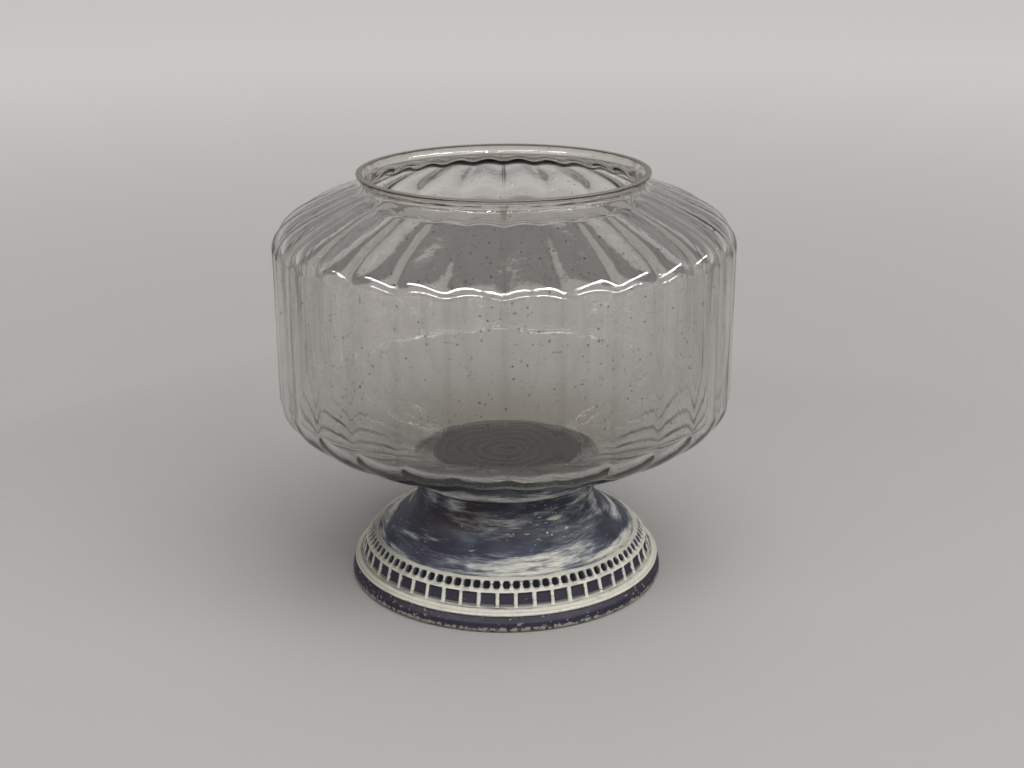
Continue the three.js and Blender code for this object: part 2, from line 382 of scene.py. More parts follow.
@cache
def specks() -> NodeTree:
    """Small separate spots, as a mask. Spacing is from spot to spot, and Share is how many are there.

    Returns:
        The effect, made at the first call.
    """
    inputs = {"Place": (0.0, 0.0, 0.0), "Spacing": 0.01, "Radius": 0.0005, "Share": 0.5}
    graph, given = start_effect("specks", "Mask", inputs)
    scale = graph.math("DIVIDE", 1.0, given["Spacing"])
    cells = graph.add("ShaderNodeTexVoronoi", {"Vector": given["Place"], "Scale": scale})
    picked = graph.add("ShaderNodeSeparateColor", {0: cells.outputs["Color"]})
    size = graph.times(graph.times(given["Radius"], scale), picked.outputs[1])
    outer, inner = (graph.times(size, share) for share in (1.3, 0.7))
    spot = graph.rise(cells.outputs["Distance"], outer, inner)
    there = graph.math("LESS_THAN", picked.outputs[0], given["Share"])
    graph.add("NodeGroupOutput", {"Mask": graph.times(spot, there)})
    return graph.tree


@cache
def rubbed_edge() -> NodeTree:
    """Where a coat is left: Cover says how much of it is there, and Grain breaks its edge up.

    Returns:
        The effect, made at the first call.
    """
    half = 0.5
    inputs = {"Cover": half, "Grain": half, "Roughen": 0.6, "Soft": 0.08}
    graph, given = start_effect("rubbed_edge", "Mask", inputs)
    centred = graph.minus(given["Grain"], half)
    broken = graph.plus(given["Cover"], graph.times(centred, given["Roughen"]))
    low = graph.minus(half, given["Soft"])
    high = graph.plus(half, given["Soft"])
    graph.add("NodeGroupOutput", {"Mask": graph.rise(broken, low, high)})
    return graph.tree


def new_finish(name: str) -> tuple[Material, Graph, NodeSocket]:
    """Starts a material.

    Args:
        name: Name of the material.

    Returns:
        The material, its graph, and the place on the object.
    """
    material = bpy.data.materials.new(name)
    material.use_nodes = True
    material.node_tree.nodes.clear()
    graph = Graph(material.node_tree)
    return material, graph, graph.place()


@dataclass(frozen=True)
class GlassFinish:
    """Clear glass with a faint grey-green tint, small specks and a film of handling."""

    refraction: float = 1.52
    tint: Colour = (0.985, 0.975, 0.967)
    # Painted shade in part: a darker tint in the creases and beside the front seam, partly a film.
    groove_tint: Colour = (0.88, 0.88, 0.85)
    drawn_tint: Colour = (0.91, 0.905, 0.885)
    neck_tint: Colour = (0.88, 0.85, 0.795)
    # Painted shade: the glass is tinted darker towards its base for the dark foot seen through it.
    base_tint: Colour = (0.70, 0.69, 0.61)
    speck_colour: Colour = (0.07, 0.065, 0.05)
    drop_colour: Colour = (0.42, 0.31, 0.18)
    body_colour: Colour = (0.62, 0.60, 0.57)
    body_density: float = 92.0
    large_specks: Spots = Spots(0.006, 0.0005, 0.35)
    small_specks: Spots = Spots(0.0021, 0.00036, 0.6)
    film: Cloud = Cloud(0.02, 0.4, 0.8)
    film_roughness: float = 0.012
    ripples: Cloud = Cloud(0.006, 0.2, 0.8, 1.0, (1.0, 1.0, 0.35))
    ripple_relief: Relief = Relief(0.07, 0.0002)
    striae: Cloud = Cloud(0.0016, 0.2, 0.8, 2.0, (1.0, 1.0, 0.04))
    striae_relief: Relief = Relief(0.08, 0.0001)
    striae_share: float = 0.8
    ground_colour: Colour = (0.20, 0.155, 0.115)
    ground_pale: Colour = (0.42, 0.37, 0.31)
    ground_clearness: float = 0.45
    ground_grain: Cloud = Cloud(0.0008, 0.2, 0.8)
    ground_relief: Relief = Relief(0.4, 0.0001)
    ground_roughness: Pair = (0.35, 0.2)

    def shell(self) -> Material:
        """The polished glass of the wall.

        Returns:
            The material, which reads the marks of its mesh.
        """
        material, graph, place = new_finish("blown_glass")
        spots = graph.larger(graph.spots(place, self.large_specks), graph.spots(place, self.small_specks))
        drawn = graph.cloud(place, self.striae)
        rippled = graph.bump(graph.cloud(place, self.ripples), self.ripple_relief)
        tint = graph.mix(graph.times(drawn, self.striae_share), self.tint, self.drawn_tint)
        # Painted shade in part: the creases, the front seam and the base are tinted darker.
        films = {"neck": self.neck_tint, "crease_film_and_shade": self.groove_tint, "deep": self.base_tint}
        for mark, colour in films.items():
            tint = graph.mix(graph.mark(mark), tint, colour)
        tint = graph.mix(spots, tint, self.speck_colour)
        graph.surface(
            self.body(graph),
            Base_Color=graph.mix(graph.mark("drop"), tint, self.drop_colour),
            Roughness=graph.times(graph.cloud(place, self.film), self.film_roughness),
            IOR=self.refraction,
            Transmission_Weight=1.0,
            Normal=graph.bump(drawn, self.striae_relief, Normal=rippled),
        )
        return material

    def ground(self) -> Material:
        """The matt ground face of the rim.

        Returns:
            The material.
        """
        material, graph, place = new_finish("ground_glass")
        grain = graph.cloud(place, self.ground_grain)
        smoothest, uneven = self.ground_roughness
        graph.surface(
            self.body(graph),
            Base_Color=graph.mix(grain, self.ground_colour, self.ground_pale),
            Roughness=graph.plus(graph.times(grain, uneven), smoothest),
            IOR=self.refraction,
            Transmission_Weight=self.ground_clearness,
            Normal=graph.bump(grain, self.ground_relief),
        )
        return material

    def body(self, graph: Graph) -> NodeSocket:
        """The absorption that gives glass the tint of its thickness."""
        inputs = {"Color": (*self.body_colour, 1), "Density": self.body_density}
        return graph.add("ShaderNodeVolumeAbsorption", inputs).outputs[0]


@dataclass(frozen=True)
class PaintFinish:
    """Slate-blue paint under a brushed cream wash, rubbed at the edges, dark in the carving, with painted
    shade in the notches and under the lip.
    """

    slate: Colour = (0.028, 0.032, 0.051)
    slate_pale: Colour = (0.070, 0.080, 0.118)
    violet: Colour = (0.040, 0.031, 0.055)
    navy: Colour = (0.018, 0.015, 0.030)
    maroon: Colour = (0.050, 0.026, 0.028)
    cream: Colour = (0.72, 0.685, 0.59)
    cream_thin: Colour = (0.30, 0.325, 0.345)
    # Dust colour, also used for painted shade on the side of the foot away from the light.
    dust_and_shade: Colour = (0.20, 0.19, 0.15)
    # Painted shade colour for the notches between the beads and under the lip.
    painted_shade: Colour = (0.008, 0.007, 0.008)
    worn: Colour = (0.25, 0.23, 0.195)
    tone: Cloud = Cloud(0.012, 0.35, 0.7)
    violet_patches: Cloud = Cloud(0.02, 0.4, 0.7)
    violet_share: float = 0.6
    brush_pull: float = 5.0
    broad_strokes: Cloud = Cloud(0.011, 0.25, 0.75, 4.0)
    broad_share: float = 0.62
    fine_strokes: Cloud = Cloud(0.004, 0.25, 0.75, 5.0, (1.0, 1.0, 2.0))
    fine_share: float = 0.48
    mean_stroke: float = 0.55
    stroke_reach: Pair = (0.7, 0.5)
    veil_rise: Pair = (0.12, 0.75)
    veil_share: float = 0.9
    thick_rise: Pair = (0.45, 1.05)
    thick_share: float = 0.96
    grain: Cloud = Cloud(0.0014, 0.25, 0.75, 4.0)
    clusters: Cloud = Cloud(0.013, 0.5, 0.68)
    cluster_share: float = 0.75
    dabs: Spots = Spots(0.0034, 0.0010, 0.6)
    flecks: Spots = Spots(0.0020, 0.0004, 0.5)
    soil_share: float = 0.22
    dust_share: float = 0.8
    rub: Rub = Rub(0.9, 0.15)
    relief: Relief = Relief(0.4, 0.00015)
    relief_shares: Pair = (0.7, 0.3)
    roughness: Pair = (0.42, 0.2)
    gloss: float = 0.2

    def base(self, graph: Graph, place: NodeSocket) -> NodeSocket:
        """The coat of dark paint.

        Args:
            graph: Graph of the material.
            place: The place on the object.

        Returns:
            Its colour.
        """
        violet = graph.times(graph.cloud(place, self.violet_patches), self.violet_share)
        colour = graph.mix(graph.cloud(place, self.tone), self.slate, self.slate_pale)
        colour = graph.mix(violet, colour, self.violet)
        colour = graph.mix(graph.mark("stain"), colour, self.maroon)
        return graph.mix(graph.mark("shade"), colour, self.navy)

    def wash(self, graph: Graph, place: NodeSocket) -> tuple[NodeSocket, NodeSocket]:
        """The cream wash, brushed round the foot and dabbed.

        Args:
            graph: Graph of the material.
            place: The place on the object.

        Returns:
            How far it veils the paint, and how thickly it lies.
        """
        across, deep, _ = graph.parts(place)
        pulled = graph.times(graph.mark("meridian"), self.brush_pull)
        brushed = graph.add("ShaderNodeCombineXYZ", {0: across, 1: deep, 2: pulled}).outputs[0]
        broad = graph.times(graph.cloud(brushed, self.broad_strokes), self.broad_share)
        fine = graph.times(graph.cloud(brushed, self.fine_strokes), self.fine_share)
        strokes = graph.plus(broad, fine)
        reach = graph.math("MULTIPLY_ADD", graph.mark("cover"), *self.stroke_reach)
        laid = graph.plus(graph.mark("cover"), graph.times(graph.minus(strokes, self.mean_stroke), reach))
        cluster = graph.times(graph.cloud(place, self.clusters), self.cluster_share)
        spots = graph.larger(graph.spots(brushed, self.dabs), graph.spots(place, self.flecks))
        dabbed = graph.times(spots, graph.larger(cluster, graph.mark("dabs")))
        veil = graph.times(graph.rise(laid, *self.veil_rise), self.veil_share)
        thick = graph.larger(graph.rise(laid, *self.thick_rise), graph.times(dabbed, graph.mark("open")))
        return veil, thick

    def coat(self) -> Material:
        """The whole coat of the foot.

        Returns:
            The material, which reads the marks of its mesh.
        """
        material, graph, place = new_finish("distressed_paint")
        grain = graph.cloud(place, self.grain)
        veil, thick = self.wash(graph, place)
        colour = graph.mix(veil, self.base(graph, place), self.cream_thin)
        colour = graph.mix(graph.times(thick, self.thick_share), colour, self.cream)
        soil = graph.times(graph.times(grain, thick), self.soil_share)
        # The dust mark holds real dust and painted shade on the side away from the light.
        dusty_and_shaded = graph.larger(soil, graph.times(graph.mark("dust_and_shade"), self.dust_share))
        colour = graph.mix(dusty_and_shaded, colour, self.dust_and_shade)
        chips = graph.effect(rubbed_edge(), Cover=graph.mark("worn"), Grain=grain, **inputs_of(self.rub))
        colour = graph.mix(chips, colour, self.worn)
        thick_height, grain_height = self.relief_shares
        height = graph.plus(graph.times(thick, thick_height), graph.times(grain, grain_height))
        smoothest, uneven = self.roughness
        rough = graph.math("MULTIPLY_ADD", grain, uneven, smoothest)
        graph.surface(
            Base_Color=graph.mix(graph.mark("painted_shade"), colour, self.painted_shade),
            Roughness=graph.plus(rough, graph.mark("painted_shade")),
            Specular_IOR_Level=self.gloss,
            Normal=graph.bump(height, self.relief),
        )
        return material


@dataclass(frozen=True)
class AdhesiveFinish:
    """Adhesive, near black over the wood, with the rings in which it was spread; the near-black colour is
    partly painted shade under the bowl.
    """

    # Painted shade in part: near black for the shade under the bowl.
    dark: Colour = (0.003, 0.003, 0.002)
    pale: Colour = (0.060, 0.056, 0.038)
    bead: Colour = (0.30, 0.285, 0.23)
    patches: Cloud = Cloud(0.016, 0.3, 0.7)
    patch_share: float = 0.5
    ring_pitch: float = 0.0046
    ring_drift: float = 0.003
    film_radius: float = 0.0286
    bead_fade: float = 0.0008
    roughness: float = 0.5
    gloss: float = 0.05

    def film(self) -> Material:
        """The adhesive as it shows through the glass and at its edge.

        Returns:
            The material.
        """
        material, graph, place = new_finish("aged_adhesive")
        spread = graph.cloud(place, self.patches)
        across, deep, _ = graph.parts(place)
        radius = graph.math("POWER", graph.plus(graph.times(across, across), graph.times(deep, deep)), 0.5)
        swirl = graph.plus(radius, graph.times(spread, self.ring_drift))
        rings = graph.math("SINE", graph.times(swirl, TAU / self.ring_pitch))
        colour = graph.mix(graph.times(graph.plus(rings, 1.0), 0.5), self.dark, self.pale)
        colour = graph.mix(graph.times(spread, self.patch_share), colour, self.pale)
        outside = graph.rise(radius, self.film_radius, self.film_radius + self.bead_fade)
        graph.surface(
            Base_Color=graph.mix(outside, colour, self.bead),
            Roughness=self.roughness,
            Specular_IOR_Level=self.gloss,
        )
        return material


@dataclass(frozen=True)
class FeltFinish:
    """Dense black felt."""

    dark: Colour = (0.012, 0.012, 0.013)
    fibre: Colour = (0.045, 0.045, 0.048)
    lint_colour: Colour = (0.25, 0.25, 0.24)
    fibres: Cloud = Cloud(0.0012, 0.3, 0.75, 6.0, (1.0, 0.4, 1.0))
    lint: Spots = Spots(0.009, 0.0005, 0.3)
    relief: Relief = Relief(0.8, 0.0003)
    roughness: float = 0.95
    sheen: float = 0.4

    def cloth(self) -> Material:
        """The pressed fibres of the pad.

        Returns:
            The material.
        """
        material, graph, place = new_finish("black_felt")
        fibres = graph.cloud(place, self.fibres)
        colour = graph.mix(fibres, self.dark, self.fibre)
        graph.surface(
            Base_Color=graph.mix(graph.spots(place, self.lint), colour, self.lint_colour),
            Roughness=self.roughness,
            Sheen_Weight=self.sheen,
            Normal=graph.bump(fibres, self.relief),
        )
        return material


class Side(Enum):
    """The two faces of the glass wall, each with the seed of its unevenness."""

    OUTER = 1
    INNER = 3


@dataclass(frozen=True)
class Stretch:
    """One cubic stretch of the glass outline, with its wall, flute depth and crease softness at both ends.

    The flutes are deeper by mid_flute halfway along.
    """

    corners: tuple[Pair, ...]
    rings: int
    start: Triple
    end: Triple
    mid_flute: float


@dataclass
class GlassBowl:
    """Mould-blown vessel: fluted wall, low shoulder, short neck and ground rim.

    The pulls say where a stretch's two middle control points lie, as shares of its own width and height.
    The fades are in metres, but the fade of the painted shade at the base is in shares of the underside's
    height.
    """

    finish: GlassFinish
    flute_count: int = 28
    columns_per_flute: int = 18
    seat_radius: float = 0.029
    throat_radius: float = 0.0506
    rim_radius: float = 0.0521
    underside_height: float = 0.0285
    side_height: float = 0.054
    shoulder_height: float = 0.0203
    throat_height: float = 0.0024
    throat_fillet: float = 0.004
    rim_bevel: float = 0.00035
    underside_pulls: Triple = (0.16, 0.08, 0.54)
    shoulder_pulls: Triple = (0.47, 0.63, 0.3)
    throat_pulls: Triple = (0.4, 0.2, 0.5)
    collar_pulls: Pair = (0.3, 0.4)
    base_wall: float = 0.0046
    side_wall: float = 0.0026
    shoulder_wall: float = 0.0024
    rim_wall: float = 0.0021
    corner_flute: float = 0.0013
    waist_flute: float = 0.0008
    foot_flute: float = 0.0010
    shoulder_flute: float = 0.0013
    mid_shoulder_flute: float = 0.0018
    throat_flute: float = 0.0002
    rim_flute: float = 0.0001
    side_crease: float = 0.30
    neck_crease: float = 0.45
    outer_waver: float = 0.00006
    inner_waver: float = 0.00022
    waver_size: float = 0.016
    waver_squash: float = 0.45
    seam_height: float = 0.00012
    seam_width: float = 0.00025
    seam_columns: tuple[float, ...] = (0.5, 1.0, 1.6, 2.4)
    dimple_radius: float = 0.0037
    dimple_width: float = 0.0008
    dimple_depth: float = 0.00015
    groove_width: float = 0.22
    groove_film: float = 0.7
    groove_fade: Pair = (0.015, 0.01)
    seam_film: float = 0.8
    neck_film: float = 0.8
    neck_fade: Pair = (0.001, 0.0025)
    deep_fade: Pair = (0.55, 0.05)
    drop_height: float = 0.1474
    drop_size: Pair = (0.0011, 0.0018)
    drop_reach: float = 0.99
    base_middle: float = 0.002
    floor_middle: float = 0.001
    chance_seed: int = 11
    seed_count: int = 260
    seed_size: Pair = (0.00014, 0.00038)
    seed_stretch: Pair = (1.0, 1.8)
    seed_depth: float = 0.0020
    seed_shares: tuple[float, ...] = (0.2, 0.2, 0.3, 0.3)
    seed_places: Pair = (0.3, 0.95)
    angles: Array = field(init=False)
    seat_height: float = field(init=False)
    rim_height: float = field(init=False)
    belly_radius: float = field(init=False)

    def __post_init__(self) -> None:
        """Takes the overall sizes from the frame."""
        low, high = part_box("glass_bowl")
        self.seat_height = low.z
        self.rim_height = high.z
        self.belly_radius = high.x / math.cos(TAU / self.flute_count / 2)
        self.angles = self.columns()

    @property
    def shoulder_top(self) -> float:
        """Height at which the shoulder meets the throat."""
        return self.seat_height + self.underside_height + self.side_height + self.shoulder_height

    def stretches(self) -> list[Stretch]:
        """The outline over the crests of the flutes, from the seat up to the rim.

        Returns:
            Its stretches, each of which starts where the one before it ends.
        """
        base, belly, throat, rim = self.seat_radius, self.belly_radius, self.throat_radius, self.rim_radius
        side_bottom = self.seat_height + self.underside_height
        side_top = side_bottom + self.side_height
        shoulder_top = self.shoulder_top
        throat_top = shoulder_top + self.throat_height
        throat_start = throat + self.throat_fillet
        collar = self.rim_height - throat_top
        foot_out, foot_up, foot_down = self.underside_pulls
        shoulder_up, shoulder_out, shoulder_down = self.shoulder_pulls
        throat_out, throat_up, throat_down = self.throat_pulls
        collar_up, collar_down = self.collar_pulls
        underside = (
            (base, self.seat_height),
            (base + (belly - base) * foot_out, self.seat_height + self.underside_height * foot_up),
            (belly, side_bottom - self.underside_height * foot_down),
            (belly, side_bottom),
        )
        side = tuple((belly, side_bottom + self.side_height * share / 6) for share in range(7))
        shoulder = (
            (belly, side_top),
            (belly, side_top + self.shoulder_height * shoulder_up),
            (throat + (belly - throat) * shoulder_out, shoulder_top - self.shoulder_height * shoulder_down),
            (throat_start, shoulder_top),
        )
        bend = (
            (throat_start, shoulder_top),
            (throat + self.throat_fillet * throat_out, shoulder_top + self.throat_height * throat_up),
            (throat, shoulder_top + self.throat_height * throat_down),
            (throat, throat_top),
        )
        neck = (
            (throat, throat_top),
            (throat, throat_top + collar * collar_up),
            (rim, self.rim_height - collar * collar_down),
            (rim, self.rim_height - self.rim_bevel),
        )
        runs = ((underside, 48), (side[:4], 14), (side[3:], 14), (shoulder, 44), (bend, 12), (neck, 10))
        knots = (
            (self.base_wall, 0, self.side_crease),
            (self.side_wall, self.foot_flute, self.side_crease),
            (self.side_wall, self.waist_flute, self.side_crease),
            (self.side_wall, self.corner_flute, self.side_crease),
            (self.shoulder_wall, self.shoulder_flute, self.neck_crease),
            (self.rim_wall, self.throat_flute, self.neck_crease),
            (self.rim_wall, self.rim_flute, self.neck_crease),
        )
        deeper = (0, 0, 0, self.mid_shoulder_flute, 0, 0)
        return [Stretch(*run, *ends, middle) for run, *ends, middle in zip(runs, knots, knots[1:], deeper)]

    def columns(self) -> Array:
        """Sets out the columns: even ones, and closer ones beside the two mould seams.

        Returns:
            Their angles.
        """
        count = self.flute_count * self.columns_per_flute
        steps = np.array(self.seam_columns)
        beside = np.concatenate([-steps, steps]) * self.seam_width / self.belly_radius
        angles = np.concatenate([even_turns(count), beside % TAU, TAU / 2 + beside])
        return np.sort(angles) + FRONT

    def wall_face(self, side: Side) -> Array:
        """One face of the wall, from the seat to the rim.

        Args:
            side: Which face.

        Returns:
            Points as rings by columns by three.
        """
        rows = []
        for number, stretch in enumerate(self.stretches()):
            parts = np.linspace(0, 1, stretch.rings + 1)[min(number, 1):]
            places, along = bezier(stretch.corners, parts)
            eased = smooth(0, 1, parts)
            ends = zip(stretch.start, stretch.end)
            wall, flute, crease = (low + (high - low) * eased for low, high in ends)
            flute = flute + stretch.mid_flute * np.sin(parts * TAU / 2)
            rows.append(np.column_stack([places, along[:, 1], -along[:, 0], wall, flute, crease]))
        radius, height, out_radial, out_up, wall, flute, crease = (
            column[:, None] for column in np.concatenate(rows).T
        )
        inner = side is Side.INNER
        phase = (self.angles - FRONT) * self.flute_count / 2
        lobe = np.sqrt(np.sin(phase) ** 2 + crease**2) / np.sqrt(1 + crease**2)
        depth = (wall if inner else 0) + flute * (1 - lobe)
        plain = around(radius[:, 0], height[:, 0], self.angles).reshape(-1, 3)
        swell = waver(plain * (1, 1, self.waver_squash), self.waver_size, side.value).reshape(depth.shape)
        calm = np.minimum(flute / self.waist_flute, 1)
        depth = depth + swell * (self.inner_waver if inner else self.outer_waver) * calm
        if not inner:
            depth = depth - self.seam(radius, self.angles) * calm
        return around(radius - out_radial * depth, height - out_up * depth, self.angles)

    def seam(self, radius: Array, angles: Array) -> Array:
        """How far the two mould seams stand proud.

        Args:
            radius: Radius of each point.
            angles: Angle of each point.

        Returns:
            Heights above the wall, in metres.
        """
        turn = np.abs(np.sin(angles - FRONT))
        close = np.where(turn < 0.5, np.arcsin(turn), 1.0)
        return self.seam_height * np.exp(-((radius * close / self.seam_width) ** 2))

    def rim_face(self) -> Array:
        """The rounded outer arris, the ground face and the inner arris of the rim.

        Returns:
            Points as rings by columns by three.
        """
        turns = np.linspace(0, TAU / 4, 4)
        outer = self.rim_radius - self.rim_bevel * (1 - np.cos(turns))
        inner = self.rim_radius - self.rim_wall + self.rim_bevel * (1 - np.cos(turns[::-1]))
        rise = self.rim_height - self.rim_bevel * (1 - np.sin(turns))
        flat = np.linspace(outer[-1], inner[0], 7)[1:-1]
        radius = np.concatenate([outer[1:], flat, inner[:-1]])
        height = np.concatenate([rise[1:], np.full(len(flat), self.rim_height), rise[::-1][:-1]])
        return around(radius, height, self.angles)

    def base_face(self, radii: Array, height: float) -> Array:
        """Rings of the flat base, with the mould's small round mark in the middle.

        Args:
            radii: Radius of each ring.
            height: Height of the flat.

        Returns:
            Points as rings by columns by three.
        """
        mark = self.dimple_depth * np.exp(-(((radii - self.dimple_radius) / self.dimple_width) ** 2))
        return around(radii, height - mark, self.angles)

    def dried_drop(self, rings: Array) -> Array:
        """Where a drop dried on at the front of the neck.

        Args:
            rings: The points, as rings by columns by three.

        Returns:
            A mask from 0 to 1, as rings by columns.
        """
        across = rings[..., 0] / self.drop_size[0]
        up = (rings[..., 2] - self.drop_height) / self.drop_size[1]
        outside = rings[..., 1] < -self.throat_radius * self.drop_reach
        return np.exp(-(across**2) - up**2) * outside

    def crease_film_and_shade(self, rings: Array) -> Array:
        """Where the creases and the front seam are tinted darker: partly a settled film, partly painted shade
        of the dark lines they show.

        Args:
            rings: The points, as rings by columns by three.

        Returns:
            A mask from 0 to 1, as rings by columns.
        """
        angles = np.arctan2(rings[..., 1], rings[..., 0]) - FRONT
        radius = np.hypot(rings[..., 0], rings[..., 1])
        creases = np.exp(-((np.sin(angles * self.flute_count / 2) / self.groove_width) ** 2))
        seams = self.seam(radius, angles + FRONT) / self.seam_height * (rings[..., 1] < 0)
        out, down = self.groove_fade
        beyond_seat = smooth(self.seat_radius, self.seat_radius + out, radius)
        below_neck = smooth(self.shoulder_top, self.shoulder_top - down, rings[..., 2])
        return np.maximum(creases * self.groove_film, seams * self.seam_film) * (beyond_seat * below_neck)

    def neck(self, rings: Array) -> Array:
        """Where a brownish film lies on the neck, as a mask from 0 to 1 per point."""
        below, above = self.neck_fade
        return smooth(self.shoulder_top - below, self.shoulder_top + above, rings[..., 2]) * self.neck_film

    def deep(self, rings: Array) -> Array:
        """Where the glass is painted darker towards its base, as painted shade of the dark foot seen through
        it, as a mask from 0 to 1 per point.
        """
        start, end = (self.underside_height * share for share in self.deep_fade)
        return smooth(start, end, rings[..., 2] - self.seat_height)

    def seeds(self) -> tuple[Array, Array]:
        """Small bubbles in the middle of the wall, drawn out along it.

        Returns:
            Their points, and their triangles, which face into each bubble.
        """
        build = bmesh.new()
        bmesh.ops.create_icosphere(build, subdivisions=2, radius=1.0)
        ball = np.array([corner.co for corner in build.verts])
        faces = np.array([[corner.index for corner in face.verts][::-1] for face in build.faces])
        build.free()
        chance = np.random.default_rng(self.chance_seed)
        stretches = self.stretches()
        points, triangles = [], []
        for _ in range(self.seed_count):
            stretch = stretches[chance.choice(len(self.seed_shares), p=self.seed_shares)]
            place, along = bezier(stretch.corners, chance.uniform(*self.seed_places, 1))
            radius, height = place[0] - np.array([along[0, 1], -along[0, 0]]) * self.seed_depth
            angle = chance.uniform(0, TAU)
            size = chance.uniform(*self.seed_size)
            reach = ball * size * np.array([1, 1, chance.uniform(*self.seed_stretch)])
            lean = Matrix.Rotation(math.atan2(along[0, 0], along[0, 1]), 3, "Y")
            turned = Matrix.Rotation(angle, 3, "Z") @ lean
            centre = np.array([radius * math.cos(angle), radius * math.sin(angle), height])
            triangles.append(faces + len(ball) * len(points))
            points.append(reach @ np.array(turned).T + centre)
        return np.concatenate(points), np.concatenate(triangles)

    def build(self) -> Object:
        """Makes the glass, dresses it and puts it in the frame.

        Returns:
            The piece.
        """
        outside = self.wall_face(Side.OUTER)
        inside = self.wall_face(Side.INNER)[::-1]
        bottom = self.base_face(np.linspace(self.base_middle, self.seat_radius, 12)[:-1], self.seat_height)
        floor_edge = float(np.hypot(inside[-1, 0, 0], inside[-1, 0, 1]))
        floor_radii = np.linspace(floor_edge, self.floor_middle, 26)[1:]
        floor = self.base_face(floor_radii, self.seat_height + self.base_wall)
        rim = self.rim_face()
        rings = np.concatenate([bottom, outside, rim, inside, floor])
        marks = {
            "drop": self.dried_drop(rings),
            "crease_film_and_shade": self.crease_film_and_shade(rings),
            # Painted shade towards the base.
            "deep": self.deep(rings),
            "neck": self.neck(rings),
        }
        piece = skin("fluted_bowl", rings, marks, self.seeds())
        first = (len(bottom) + len(outside) - 1) * len(self.angles)
        last = first + (len(rim) + 1) * len(self.angles)
        piece.data.materials.append(self.finish.shell())
        piece.data.materials.append(self.finish.ground())
        slots = np.zeros(len(piece.data.polygons), np.int32)
        slots[first:last] = 1
        piece.data.polygons.foreach_set("material_index", slots)
        return seat(piece, "glass_bowl")


@dataclass
class AdhesiveBond:
    """Film of adhesive between the foot and the glass, with the uneven bead squeezed out of it.

    The bead's points are given as radius from the film's edge, and as height from its underside or its top.
    """

    finish: AdhesiveFinish
    columns: int = 180
    seat_radius: float = 0.029
    film_radii: Triple = (0.004, 0.012, 0.022)
    bead_low: tuple[Pair, ...] = ((-0.002, 0.0), (0.0, 0.00005), (0.0002, 0.0004), (-0.0002, 0.0008))
    bead_high: Pair = (-0.0008, 0.0002)
    sink: float = 0.00003
    uneven: float = 0.0006
    uneven_size: float = 0.009
    uneven_seed: int = 7

    def build(self) -> Object:
        """Makes the film and its bead, dresses them and puts them in the frame.

        Returns:
            The piece.
        """
        low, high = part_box("adhesive_bond")
        angles = even_turns(self.columns)
        edge, top = high.y, high.z + self.sink
        outline = [(radius, low.z) for radius in self.film_radii[:2]]
        outline += [(edge + out, low.z + up) for out, up in self.bead_low]
        outline += [(edge + self.bead_high[0], high.z + self.bead_high[1]), (self.seat_radius, top)]
        outline += [(radius, top) for radius in reversed(self.film_radii)]
        radius, height = (np.array(values)[:, None] for values in zip(*outline))
        circle = around(np.full(1, edge), np.zeros(1), angles)[0]
        swell = waver(circle, self.uneven_size, self.uneven_seed) * self.uneven
        radius = radius + smooth(self.seat_radius, edge, radius) * swell
        piece = skin("glue_line", around(radius, np.broadcast_to(height, radius.shape), angles))
        piece.data.materials.append(self.finish.film())
        return seat(piece, "adhesive_bond")


class Band(Enum):
    """Bands of the foot: how much cream is left on each, how worn it is, and how shaded and dusty it lies."""

    RECESS = (0.0, 0.3, 0.6, 0.0)
    EDGE = (0.05, 0.56, 0.8, 0.0)
    BASE = (0.0, 0.06, 1.0, 0.0)
    TORUS = (1.25, 0.0, 0.0, 0.0)
    QUIRK = (0.70, 0.0, 0.1, 0.4)
    DENTIL = (1.15, 0.0, 0.0, 0.0)
    FILLET = (1.10, 0.0, 0.0, 0.0)
    BEAD = (0.85, 0.0, 0.0, 0.2)
    LEDGE = (1.20, 0.0, 0.0, 0.0)
    HOLLOW = (0.42, 0.0, 0.0, 0.0)
    FLARE = (0.08, 0.0, 0.0, 0.0)
    NECK = (0.16, 0.0, 0.2, 0.0)
    LIP = (0.60, 0.0, 0.0, 0.0)

    def __init__(self, cover: float, worn: float, shade: float, dust_and_shade: float) -> None:
        """Names the four shares.

        Args:
            cover: Cream that is left.
            worn: How far the edge is rubbed.
            shade: How dark the paint is.
            dust_and_shade: How much dust lies in it.
        """
        self.cover = cover
        self.worn = worn
        self.shade = shade
        self.dust_and_shade = dust_and_shade


@dataclass(frozen=True)
class Turning:
    """The turned outline of the foot, the band of each of its points, and the angles of its columns."""

    points: Array
    bands: list[Band]
    angles: Array

    @property
    def meridian(self) -> Array:
        """Length along the outline at each point."""
        steps = np.linalg.norm(np.diff(self.points, axis=0), axis=1)
        return np.concatenate([[0], np.cumsum(steps)])

    def rows(self, wanted: Band) -> list[int]:
        """Numbers of the points that belong to one band."""
        return [row for row, band in enumerate(self.bands) if band is wanted]

    def incised(self) -> int:
        """Number of the point at which the line is cut into the torus."""
        torus = self.rows(Band.TORUS)
        return torus[len(torus) * 2 // 3]

    def shares(self, name: str) -> Array:
        """One of the bands' four shares, per point."""
        return np.array([getattr(band, name) for band in self.bands])[:, None]


@dataclass(frozen=True)
class WashPatch:
    """A place on the foot where the cream wash was left on.

    Azimuth is in degrees from the front towards +X, and the other sizes are in metres. Lean is how far the
    patch climbs over its own width.
    """

    azimuth: float
    height: float
    half_width: float
    half_height: float
    strength: float
    lean: float = 0.0


